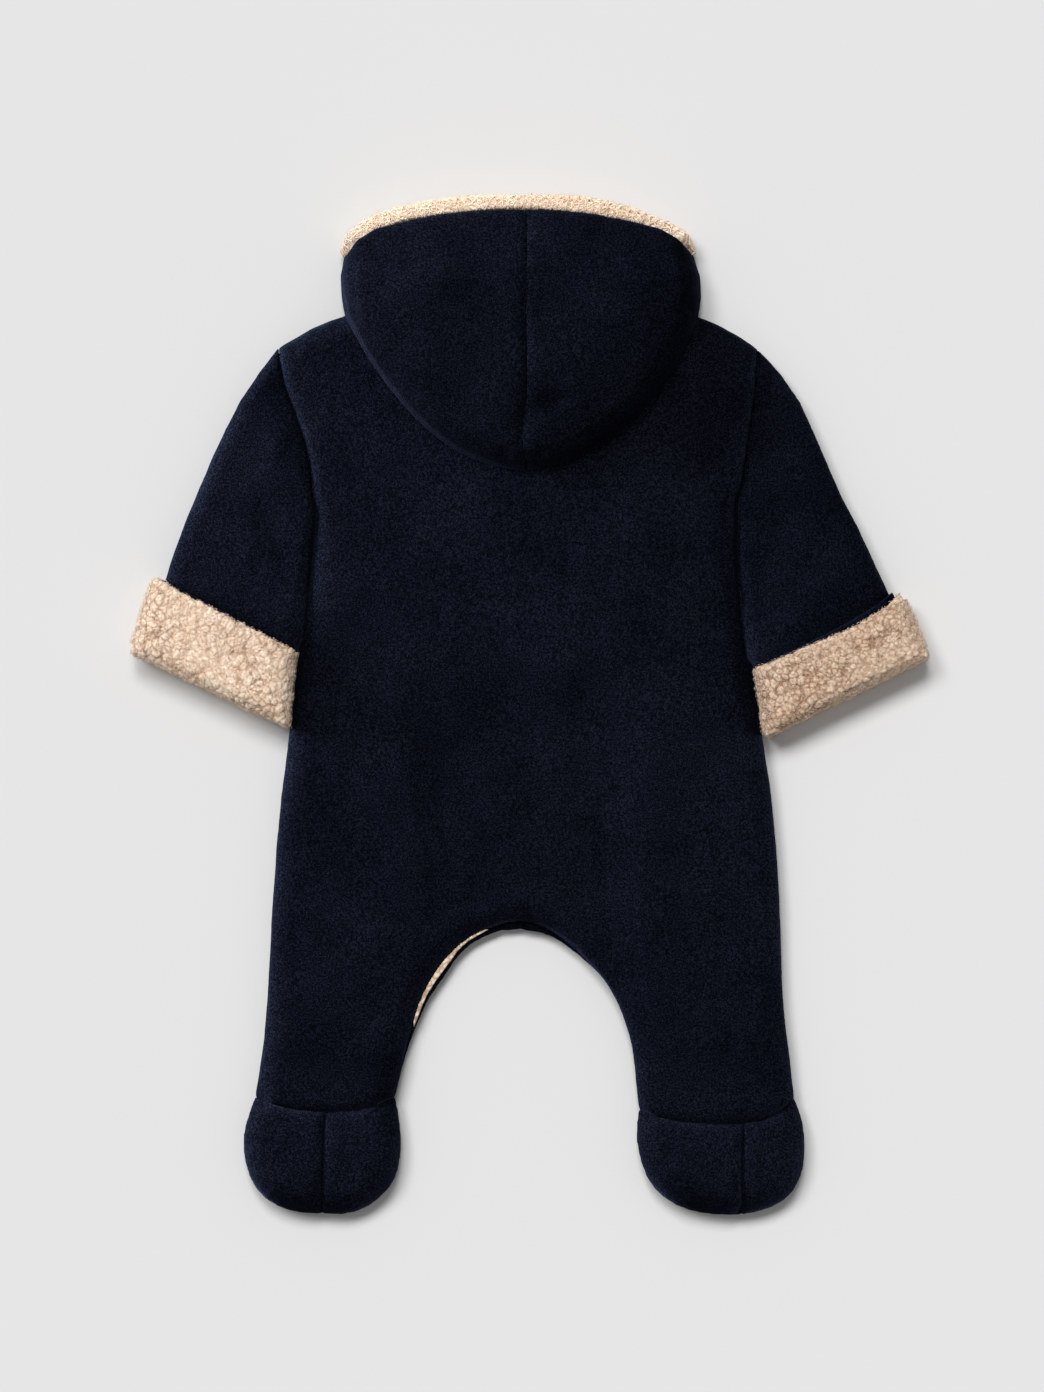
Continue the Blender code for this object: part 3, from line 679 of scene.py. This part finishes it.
PUFF_FROM, PUFF_OVER = 6 * MM, 12 * MM  # heights: where the hood begins to rise, and over how much
PUFFED = {  # outline in drawing units, how far in the cloth still rises mm, how much mm
    "hood": ([(344, 256), (340, 275), (345, 315), (380, 374), (412, 414), (449, 446), (479, 461), (504, 468),
              (554, 465), (616, 434), (653, 399), (678, 362), (698, 317), (700, 276), (693, 254)], 52, 4.5),
    "foot_left": ([(246, 1125), (244, 1150), (251, 1180), (267, 1200), (296, 1212), (326, 1214),
                   (352, 1213), (377, 1200), (394, 1180), (400, 1150), (399, 1125), (395, 1104), (320, 1112),
                   (252, 1100), (246, 1125)], 24, 2.6),
    "foot_right": ([(637, 1135), (643, 1166), (657, 1190), (684, 1208), (726, 1215), (764, 1210),
                    (789, 1196), (802, 1172), (805, 1145), (802, 1120), (796, 1106), (720, 1122), (642, 1114),
                    (637, 1135)], 24, 2.6),
}


def puffed(which, whole=False):
    """Cloth that stands fuller towards the middle of its outline: whole upper layers, or what looks up."""
    outline, reach, height = PUFFED[which]
    line = to_m(outline)

    def shape(points, out):
        gap, _ = span(points, line)
        up = smooth((points[:, 2] - PUFF_FROM) / PUFF_OVER) if whole else looking_up(out)
        points = points.copy()
        points[:, 2] += height * MM * up * (1 - (1 - np.clip(gap / (reach * MM), 0, 1)) ** 2)
        return points
    return shape


def slanted(side, column, hem=0.0):
    """The open edge of the turned-up end laid back along its length; hem is a rolled edge's height."""
    rows = np.array(SLANT[side], float)
    inner, outer, along, down = way_to_fold(side)

    def shape(points, out):
        flat = points[:, :2] - inner
        share = flat @ along / np.linalg.norm(outer - inner)
        depth = flat @ down
        back_by = np.interp(share, rows[:, 0], rows[:, column]) * MM
        moved = points.copy()
        moved[:, :2] += down * (back_by * smooth(1 - depth / SLANT_REACH))[:, None]
        roll = np.exp(-((depth - HEM) / HEM) ** 2)
        moved[:, 2] += hem * roll * looking_up(out)
        return moved
    return shape


ARMPIT = 585  # drawing y below which the sleeve is free of the body
CAP_DEPTH = 36 * MM  # the sleeve's end in the cuff is farther than this from the open edge
CAP_FACING = 0.75  # a face of that end looks at least this much towards the fold
ARMHOLE_FACING, ARMHOLE_REACH = 0.6, 1.5 * MM  # and one of the armhole towards the body, this near it


def opened(sleeve, side):
    """Makes the sleeve a tube: no cloth across its end in the cuff or across the armhole."""
    inner, _, _, down = way_to_fold(side)
    inward = np.array([1.0 if side == "left" else -1.0, 0.0])

    def hidden_end(middles, facing):
        in_cuff = (facing[:, :2] @ down > CAP_FACING) & ((middles[:, :2] - inner) @ down > CAP_DEPTH)
        high = CENTRE[1] - middles[:, 1] / UNIT < ARMPIT
        close = gap_to(middles, ("back", f"front_{side}"), 2 * MM)[0] < ARMHOLE_REACH
        return in_cuff | (high & close & (facing[:, :2] @ inward > ARMHOLE_FACING))
    without_faces(sleeve, hidden_end)


SEEDS = {"back": 11, "front": 21, "sleeve": 31, "hood": 41, "turn": 51, "foot": 61, "cuff": 101,
         "lining": 201, "facing": 301}
PILE_SEEDS = 50  # between the two sides of the pile
TURN_HEM = 0.9 * MM  # how high the turned-up fleece's hem is rolled

fleece_piece("back_panel", "back", "back", SEEDS["back"], CREASES["back"], shape=calmed)
for k, side in enumerate(SIDES):
    fleece_piece(f"front_panel_{side}", f"front_{side}", "front", SEEDS["front"] + k, CREASES["front"])
for k, side in enumerate(SIDES):
    sleeve = fleece_piece(f"arm_{side}", f"sleeve_{side}", "sleeve", SEEDS["sleeve"] + k,
                          CREASES[f"sleeve_{side}"], shape=tucked(side))
    opened(sleeve, side)
for k, side in enumerate(SIDES):
    fleece_piece(f"hood_shell_{side}", f"hood_{side}", "hood", SEEDS["hood"] + k, CREASES[f"hood_{side}"],
                 rounds=8, flatten=False, fuller=puffed("hood", True))
for k, side in enumerate(SIDES):
    fleece_piece(f"turned_edge_{side}", f"cuff_turn_{side}", "turn", SEEDS["turn"] + k, rounds=6,
                 flatten=False, shape=slanted(side, 2, TURN_HEM))
for k, (side, part) in enumerate(itertools.product(SIDES, ("outer", "inner", "front"))):
    kind = "toe" if part == "front" else "heel"
    fuller = None if part == "front" else puffed(f"foot_{side}")
    fleece_piece(f"bootee_{side}_{part}", f"foot_{side}_{part}", kind, SEEDS["foot"] + k, fuller=fuller)


# ---- sherpa pieces
CORNER_IN = 1.414  # radii from a square corner to the middle of its arc
CORNER_FACING = 0.72  # cosine of the angle from the corner in which the outline is drawn in


def rounded_corners(points, corners, middle):
    """The pile's outline rounded in plan at some corners, towards its middle."""
    points = points.copy()
    for x, y, radius in corners:
        corner = to_m((x, y))[0]
        inward = middle - corner
        inward /= np.linalg.norm(inward)
        centre = corner + inward * radius * MM * CORNER_IN
        off = points[:, :2] - centre
        gap = np.linalg.norm(off, axis=1)
        facing = (off @ -inward) / np.maximum(gap, TINY)
        over = np.where(facing > CORNER_FACING, np.maximum(gap - radius * MM, 0), 0)
        points[:, :2] -= off * (over / np.maximum(gap, TINY))[:, None]
    return points


CLUMP_KNOT, CLUMP_WIDE = 4.2 * MM, 11.0 * MM  # sizes of the knots and of the clumps that they form
CLUMP_BEND = 3.4 * MM  # and of the waves that make both irregular


def clumped(points, out, seed):
    """Plain pile in soft clumps: how far out it stands in mm, and how much painted shade lies between them.
    out isn't needed.
    """
    warp = drift(points, CLUMP_BEND, seed)
    near, margin, own = lumps(points + 1.0 * MM * warp, CLUMP_KNOT, seed + 10)
    dome = domes(near, 0.95) * (0.75 + 0.5 * own)
    wide, _, _ = lumps(points + 2.0 * MM * warp, CLUMP_WIDE, seed + 20)
    height = 0.75 * dome + 0.65 * domes(wide)
    return height, np.clip(0.95 - 0.6 * smooth(margin / 0.4) - 0.25 * dome, 0, 1)


KNOTS = {"left": 5.0, "right": 4.4}  # size of a turned-up end's knots, mm
FINE_KNOT = 2.1 * MM  # and of the smaller ones on them
KNOT_BEND, KNOT_SHIFT, FINE_SHIFT = 7.5 * MM, 2.4 * MM, 0.9 * MM  # the waves that move both, how far
KNOT_GAP, FINE_GAP = 0.30, 0.35  # how wide the gaps are, in the knots' sizes
TIGHT = 24 * MM  # how long stretches with deeper and softer gaps are; there the gaps are also painted darker
FIBRE, FIBRE_HIGH = 1.3 * MM, 0.16  # how long and, in mm, how high the finest unevenness is
LOBES, LOBE_DEPTH = {"left": 0.45, "right": 0.0}, 12 * MM  # how much knots are drawn out by the open edge
SHORN = {"left": 0.0, "right": 0.55}  # how much shorter the pile is there
EDGE_START, EDGE_REACH = 2 * MM, 7 * MM  # where that begins to fade, and over how much


def packed(points, out, seed, side):
    """A turned-up end's curls: how far out they stand in mm, and how much painted shade lies between them.

    Soft knots are packed side by side with thin gaps, and smaller ones lie on them. At the left end's open
    edge they are long lobes across the edge; at the right end's the pile is shorn short.
    """
    inner, _, _, down = way_to_fold(side)
    depth = (points[:, :2] - inner) @ down
    near_edge = smooth(1 - (depth - EDGE_START) / EDGE_REACH) * looking_up(out)
    warp = drift(points, KNOT_BEND, seed)
    bent = points + KNOT_SHIFT * warp
    bent[:, :2] -= down * (LOBES[side] * np.clip(depth, 0, LOBE_DEPTH))[:, None]
    near, margin, own = lumps(bent, KNOTS[side] * MM, seed + 10)
    knot = domes(near, 0.9) * (0.65 + 0.6 * own)
    gap = 1 - smooth(margin / KNOT_GAP)
    fine_near, fine_margin, _ = lumps(points + FINE_SHIFT * warp, FINE_KNOT, seed + 20)
    fine_gap = 1 - smooth(fine_margin / FINE_GAP)
    tight = 0.5 + 0.5 * waves(points, TIGHT, seed + 30)
    shorn = 1 - SHORN[side] * near_edge
    height = 1.45 * knot + (0.45 + 0.40 * tight) * domes(fine_near) - 0.25 * gap - 0.15 * fine_gap
    height = shorn * height + 0.5 * tight
    height += FIBRE_HIGH * waves(points, FIBRE, seed + 40)
    # painted shade: darker in the gaps between knots and between small knots, and where knots are low
    crevice = (0.10 + 0.42 * tight) * gap + (0.12 + 0.28 * tight) * fine_gap + 0.22 * (1 - knot)
    paler = 0.50 + 0.50 * looking_up(out, 0.4)  # the upright sides get less painted shade in the gaps
    return height, shorn * paler * crevice


MOUTH_FROM, MOUTH_OVER = 0.25, 0.5  # how far a face looks ahead where it begins to give way, and over what


def slit(points, out, ahead, level, depth, width):
    """A soft mouth across the faces that look ahead: pressed in along their middle height."""
    facing = smooth((out[:, :2] @ ahead - MOUTH_FROM) / MOUTH_OVER)
    press = facing * depth * np.exp(-((points[:, 2] - level) / width) ** 2)
    points = points.copy()
    points[:, :2] -= ahead * press[:, None]
    return points, press / depth


SUNK = 0.8  # mm that the pile's ground lies inside its solid
SOFT_ROUNDS = 3  # of smoothing for the normals, and for the border of what is hidden
SEEN = 0.6  # strands grow where more than this is seen


def pile_piece(name, node, kind, seed, height=1.0, rounds=8, shape=None, mouth=None, curls=clumped,
               painted_shade_offset=0.0):
    """Sherpa on its node's form. Gives what loose strands need to know of its points."""
    obj = remeshed(name, node, VOXEL[kind])
    ends = joined_edges(obj)
    points = relaxed(places(obj), ends, rounds)
    place(obj, points)
    out = unit(relaxed(normals(obj), ends, SOFT_ROUNDS, False))
    hidden = unseen(points, out, node, kind)
    if shape is not None:
        points = shape(points, out)
    rise, crevice = curls(points, out, seed)
    seen = 1 - relaxed(hidden[:, None].astype(float), ends, SOFT_ROUNDS, False)[:, 0]
    points = points + out * (seen * (rise - SUNK) * height - (1 - seen) * SUNK)[:, None] * MM
    # a mouth is pressed in and painted with shade as deep as it is pressed
    if mouth is not None:
        points, pressed = slit(points, out, *mouth)
        crevice = np.maximum(crevice, pressed)
    points[:, 2] = np.maximum(points[:, 2], FLOOR_GAP)
    place(obj, points)
    # painted shade between the curls and in the mouth, with the piece's own painted shade added
    attribute(obj, "crevice", np.clip(crevice + painted_shade_offset, 0, 1))
    if hidden.any():
        thinned(obj, hidden)
    finished(obj, CREAM, "cream_sherpa", node)
    return {"points": points, "out": out, "seen": seen > SEEN}


def tree_of(points):
    tree = KDTree(len(points))
    for i, point in enumerate(points):
        tree.insert(point, i)
    tree.balance()
    return tree


def spread(points, spacing, chance):
    """Picks points at random that stay this far apart."""
    tree = tree_of(points)
    free = np.ones(len(points), bool)
    kept = []
    for i in chance.permutation(len(points)):
        if free[i]:
            kept.append(i)
            for _, j, _ in tree.find_range(points[i], spacing):
                free[j] = False
    return np.array(kept, int)


ROOT_LOW = 1.2 * MM  # no strand grows lower than this


def rooted(ground, spacing, chance, where=True):
    """Places on the seen pile for strands that stay this far apart, and the normals there."""
    able = np.flatnonzero(ground["seen"] & (ground["points"][:, 2] > ROOT_LOW) & where)
    points, out = ground["points"][able], ground["out"][able]
    kept = spread(points, spacing, chance)
    return points[kept], out[kept]


LOCK_TURN = 0.5  # how much tighter a lock turns towards its end
LOCK_ARCH = 0.7  # less than 1 makes its rise fuller
LOCK_UP = 0.4  # of its thickness, how high its middle line starts over the ground
LOCK_TAPER, LOCK_TIP = 2.6, 0.06  # how late it narrows, and the share of its section at its ends
LOCK_TONES = (-0.10, 0.12)  # how much paler or darker a lock is than others
LOCK_SIDE, LOCK_TOP, LOCK_END = 0.40, 0.42, 0.40  # painted shade on a lock: how dark its sides are, its top less, its ends more


def locks(roots, out, flow, chance, thick, length, turn, lift, stand, steps, sides, shade, sway=0.0):
    """Short locks of pile, each bent on itself in the plane of the cloth. Ranges are mm and degrees.

    stand lets the tip leave the cloth, and sway bends a lock both ways. It has steps rings of sides points.
    """
    count = len(roots)
    thick, length, lift = (chance.uniform(low, high, count) * MM for low, high in (thick, length, lift))
    bend = np.radians(chance.uniform(*turn, count)) * chance.choice((-1, 1), count)
    ahead = unit(flow - out * (flow * out).sum(1)[:, None])
    across = np.cross(out, ahead)
    share = np.linspace(0, 1, steps)
    heading = bend[:, None] * (share - 0.5) * (1 + LOCK_TURN * share)
    heading += np.radians(chance.uniform(-sway, sway, count))[:, None] * np.sin(2 * np.pi * share)
    stride = (length / (steps - 1))[:, None]
    x = np.cumsum(np.cos(heading) * stride, axis=1)
    y = np.cumsum(np.sin(heading) * stride, axis=1)
    x -= x.mean(axis=1)[:, None]
    y -= y.mean(axis=1)[:, None]
    up = lift[:, None] * np.sin(np.pi * share) ** LOCK_ARCH + (LOCK_UP * thick)[:, None]
    up += stand * length[:, None] * share
    path = (roots[:, None] + ahead[:, None] * x[..., None] + across[:, None] * y[..., None]
            + out[:, None] * up[..., None])
    beside = across[:, None] * np.cos(heading)[..., None] - ahead[:, None] * np.sin(heading)[..., None]
    girth = thick[:, None] * np.clip(1 - np.abs(2 * share - 1) ** LOCK_TAPER, LOCK_TIP, 1) ** 0.5
    angle = 2 * np.pi * np.arange(sides) / sides + 0.5 * np.pi
    ring = beside[:, :, None] * np.cos(angle)[:, None] + out[:, None, None] * np.sin(angle)[:, None]
    points = path[:, :, None] + ring * girth[:, :, None, None]
    points[..., 2] = np.maximum(points[..., 2], FLOOR_GAP)
    # painted shade of each point: a random tone, the shade passed in, and sides and ends darker than the top
    tone = (chance.uniform(*LOCK_TONES, count) + shade)[:, None, None]
    low = LOCK_SIDE - LOCK_TOP * np.sin(angle)[None, None]
    crevice = np.clip(low + tone + LOCK_END * np.abs(2 * share - 1)[None, :, None] ** 4, 0, 1)

    first = (np.arange(count) * steps * sides)[:, None, None]
    r, k = np.meshgrid(np.arange(steps - 1), np.arange(sides), indexing="ij")
    next_k = (k + 1) % sides
    quads = np.stack([r * sides + k, r * sides + next_k, (r + 1) * sides + next_k, (r + 1) * sides + k], -1)
    quads = (first[..., None] + quads[None]).reshape(-1, 4)
    ends = np.array([np.arange(sides)[::-1], (steps - 1) * sides + np.arange(sides)])
    caps = (first + ends[None]).reshape(-1, sides)
    return points.reshape(-1, 3), quads.tolist() + caps.tolist(), crevice.ravel()


def strand_piece(name, points, faces, crevice):
    """The strands that locks makes, as a piece that stands for no solid."""
    mesh = bpy.data.meshes.new(name)
    mesh.from_pydata(points.tolist(), [], faces)
    obj = linked(name, mesh)
    attribute(obj, "crevice", crevice)
    finished(obj, CREAM, "cream_sherpa")


def tufts(points, spacing, chance):
    """The way from each point to the middle of its own tuft."""
    middles = points[spread(points, spacing, chance)]
    tree = tree_of(middles)
    return np.array([middles[tree.find(point)[1]] for point in points]) - points


def flow_of(points, cell, seed):
    """Which way the pile lies, changing softly from place to place and never nothing."""
    return drift(points, cell, seed) + 1e-6


# ---- the turned-up ends
CUFF_MIDDLE = {"left": (215, 655), "right": (842, 664)}  # drawing point
CUFF_MOUTH = (17.2 * MM, 7 * MM, 1.6 * MM)  # the flat opening at the fold: height, depth, half width
# painted shade over a whole turned-up end's pile: the right one gets less of the light from the left, so it
# is painted darker
CUFF_PAINTED_SHADE = {"left": 0.06, "right": 0.26}
FUZZ_PALER = 0.15  # paler than the pile that the fibres stand on: this much less painted shade
FUZZ_APART = 2.0 * MM
FUZZ_FLOW = 9 * MM  # how long a stretch of fibres lies one way
FUZZ = {"thick": (0.14, 0.25), "length": (2.0, 4.0), "turn": (10, 160), "lift": (0.1, 0.7), "stand": 0.22,
        "steps": 4, "sides": 3}


def turned_end(side, seed):
    """The sherpa of a turned-up end and its loose fibres."""
    down = way_to_fold(side)[-1]
    middle = to_m(CUFF_MIDDLE[side])[0]
    slant = slanted(side, 1)

    def shape(points, out):
        return rounded_corners(slant(points, out), CORNERS[side], middle)

    def curls(points, out, seed):
        return packed(points, out, seed, side)

    ground = pile_piece(f"cuff_pile_{side}", f"cuff_sherpa_{side}", "pile", seed, shape=shape,
                        mouth=(down, *CUFF_MOUTH), curls=curls, painted_shade_offset=CUFF_PAINTED_SHADE[side])
    chance = np.random.default_rng(seed)
    points, out = rooted(ground, FUZZ_APART, chance)
    flow = flow_of(points, FUZZ_FLOW, seed + 5)
    made = locks(points, out, flow, chance, shade=CUFF_PAINTED_SHADE[side] - FUZZ_PALER, **FUZZ)
    strand_piece(f"cuff_fuzz_{side}", *made)


# ---- the hood's pile
HOOD_MIDDLE = (524, 330)  # drawing point that the fringe points away from
HOOD_AHEAD = np.array([0.0, 1.0])
HOOD_MOUTH = (13 * MM, 7 * MM, 1.8 * MM)  # between its two layers, as in CUFF_MOUTH
# painted light on the hood's pile: less than 0 takes away painted shade, so the pile is painted paler
HOOD_PAINTED_SHADE = -0.55
FRINGE_BACK = -0.3  # no strand grows where the pile looks farther back than this
FRINGE_APART, TUFT_APART = 1.05 * MM, 4.0 * MM
FRINGE_FLOW, FRINGE_STRAY = 6 * MM, 0.3  # as FUZZ_FLOW, and how much that counts
TUFT_LEAN = 1.8 * MM  # this far from the middle of its tuft a strand leans in as much as outwards
TUFT_GATHER = 0.25  # of the way to that middle, how far its root goes
FRINGE_SHADE = 0.30  # painted shade: how much darker strands close to the shell are
SHADE_FROM, SHADE_OVER, SHADE_REACH = 1.5 * MM, 2.5 * MM, 6 * MM
FRINGE = {"thick": (0.24, 0.44), "length": (4.4, 7.6), "turn": (10, 60), "lift": (0.2, 0.7), "stand": 0.32,
          "sway": 20, "steps": 5, "sides": 3}


def hood_edge(side, seed):
    """A half of the hood's sherpa and the fringe of strands on its edge."""
    ground = pile_piece(f"hood_pile_{side}", f"hood_lining_{side}", "lining", seed,
                        mouth=(HOOD_AHEAD, *HOOD_MOUTH), painted_shade_offset=HOOD_PAINTED_SHADE)
    chance = np.random.default_rng(seed)
    points, out = rooted(ground, FRINGE_APART, chance, ground["out"][:, 1] > FRINGE_BACK)
    away = np.column_stack([points[:, :2] - to_m(HOOD_MIDDLE)[0], np.zeros(len(points))])
    to_tuft = tufts(points, TUFT_APART, chance)
    flow = unit(away) + to_tuft / TUFT_LEAN + FRINGE_STRAY * flow_of(points, FRINGE_FLOW, seed)
    # strands close to the shell get painted shade, added to the hood's painted offset
    deep = gap_to(points, (f"hood_{side}",), SHADE_REACH)[0]
    shade = FRINGE_SHADE * smooth(1 - (deep - SHADE_FROM) / SHADE_OVER) + HOOD_PAINTED_SHADE
    made = locks(points + TUFT_GATHER * to_tuft, out, flow, chance, shade=shade, **FRINGE)
    strand_piece(f"hood_fringe_{side}", *made)


for k, side in enumerate(SIDES):
    turned_end(side, SEEDS["cuff"] + PILE_SEEDS * k)
for k, side in enumerate(SIDES):
    hood_edge(side, SEEDS["lining"] + PILE_SEEDS * k)
pile_piece("leg_pile", "leg_facing", "facing", SEEDS["facing"], height=0.45, rounds=4)


# ---- the cuts
CUTS = {  # what shows of each cut: width, length and area in m and m2, how it is held, what it lies on
    "back_panel": (0.40, 0.63, 0.175, "laid", ("front_panel_left", "front_panel_right")),
    "front_panel_left": (0.22, 0.61, 0.093, "laid", ("floor",)),
    "front_panel_right": (0.23, 0.62, 0.097, "laid", ("floor",)),
    "arm_left": (0.22, 0.27, 0.038, "laid", ("floor",)),
    "arm_right": (0.22, 0.27, 0.038, "laid", ("floor",)),
    "hood_shell_left": (0.20, 0.24, 0.040, "folded", ("back_panel", "hood_pile_left")),
    "hood_shell_right": (0.19, 0.24, 0.038, "folded", ("back_panel", "hood_pile_right")),
    "turned_edge_left": (0.25, 0.045, 0.010, "folded", ("arm_left",)),
    "turned_edge_right": (0.25, 0.045, 0.010, "folded", ("arm_right",)),
    "bootee_left_outer": (0.065, 0.085, 0.0048, "laid", ("bootee_left_front",)),
    "bootee_left_inner": (0.065, 0.085, 0.0047, "laid", ("bootee_left_front",)),
    "bootee_left_front": (0.120, 0.090, 0.0080, "laid", ("floor",)),
    "bootee_right_outer": (0.050, 0.085, 0.0037, "laid", ("bootee_right_front",)),
    "bootee_right_inner": (0.080, 0.080, 0.0053, "laid", ("bootee_right_front",)),
    "bootee_right_front": (0.125, 0.090, 0.0078, "laid", ("floor",)),
    "cuff_pile_left": (0.27, 0.070, 0.0165, "folded", ("turned_edge_left", "floor")),
    "cuff_pile_right": (0.27, 0.070, 0.0160, "folded", ("turned_edge_right", "floor")),
    "hood_pile_left": (0.19, 0.20, 0.023, "folded", ("back_panel",)),
    "hood_pile_right": (0.18, 0.20, 0.022, "folded", ("back_panel",)),
    "leg_pile": (0.095, 0.010, 0.0005, "laid", ("front_panel_left",)),
}
for name, (width, length, area, held, on) in CUTS.items():
    start, side = name.rsplit("_", 1)


# ---- floor, light and camera
FLOOR_GREYS = [(0.0, (0.80, 0.80, 0.80)), (1.0, (0.802, 0.802, 0.802))]


def grey_floor():
    n = Nodes("floor")
    grain = n.noise(90 * MM, 2.0, 0.5)
    return n.matt(n.ramp(grain, FLOOR_GREYS))


FLOOR_REACH = 12.0
floor_mesh = bpy.data.meshes.new("floor")
corners = [(x * FLOOR_REACH, y * FLOOR_REACH, 0) for x, y in ((-1, -1), (1, -1), (1, 1), (-1, 1))]
floor_mesh.from_pydata(corners, [], [(0, 1, 2, 3)])
floor = linked("floor", floor_mesh)
floor.data.materials.append(grey_floor())

SKY = 0.267
SUNS = {  # the way each one's light goes, its strength and its width in degrees
    "key_top": ((0.08, -0.62, -1.0), 1.463, 20.0),
    "key_left": ((0.50, -0.45, -1.0), 1.233, 20.0),
}
BODY_PIECES = ("back_panel", "front_panel", "arm", "bootee", "turned_edge")
SOFT_BOXES = {  # from where, size, power, colour, the start of the names of the pieces it lights; "" is all
    "side": ((-0.75, 0.40, 0.75), 0.6, 3.0, (0.95, 1.0, 1.05), ("",)),
    "rim": ((-1.40, 0.50, 0.14), 0.5, 215.0, (0.90, 0.97, 1.12), BODY_PIECES),
    "near_left": ((-0.75, 0.10, 0.35), 0.5, 5.0, (0.95, 1.0, 1.08), BODY_PIECES + ("hood_shell",)),
    "hood_rim": ((-0.80, 1.15, 0.22), 0.5, 55.0, (0.90, 0.97, 1.12), ("hood_shell",)),
    "hood_side": ((-0.90, 0.65, 0.45), 0.5, 15.0, (0.95, 1.0, 1.08), ("hood_shell",)),
    "far": ((1.30, -0.20, 0.30), 0.5, 36.0, (0.95, 0.98, 1.05), BODY_PIECES),
    "band": ((-0.15, 0.95, 0.55), 0.6, 3.2, (1.0, 0.98, 0.95), ("hood_pile", "hood_fringe")),
}

world = bpy.data.worlds.new("studio")
bpy.context.scene.world = world
world.use_nodes = True
background = world.node_tree.nodes["Background"]
background.inputs["Color"].default_value = (1, 1, 1, 1)
background.inputs["Strength"].default_value = SKY


def lamp(name, kind, power, where, towards):
    data = bpy.data.lights.new(name, kind)
    data.energy = power
    made = linked(name, data)
    made.location = where
    made.rotation_mode = "QUATERNION"
    made.rotation_quaternion = Vector(towards).to_track_quat("-Z", "Y")
    return made


SUN_PLACE = (0, 0, 3)  # any place does
for name, (towards, power, width) in SUNS.items():
    sun = lamp(name, "SUN", power, SUN_PLACE, towards)
    sun.data.angle = np.radians(width)
garment = [obj for obj in bpy.context.scene.collection.objects if obj.type == "MESH" and obj is not floor]
for name, (where, size, power, colour, starts) in SOFT_BOXES.items():
    box = lamp(name, "AREA", power, where, [-c for c in where])
    box.data.size = size
    box.data.color = colour
    lit = bpy.data.collections.new(f"lit_by_{name}")
    for obj in garment:
        if obj.name.startswith(starts):
            lit.objects.link(obj)
    box.light_linking.receiver_collection = lit

bpy.context.scene.view_settings.view_transform = "Standard"
bpy.context.scene.view_settings.look = "None"

camera_data = bpy.data.cameras.new("camera")
camera_data.sensor_width = SENSOR
camera_data.lens = SENSOR * CAMERA_HEIGHT / (FRAME_UNITS * UNIT)
camera_data.clip_start = CAMERA_NEAR
camera_data.clip_end = CAMERA_FAR
camera = linked("camera", camera_data)
middle = to_m(FRAME_CENTRE)[0]
camera.location = (middle[0], middle[1], CAMERA_HEIGHT + SCALE_PLANE)
bpy.context.scene.camera = camera
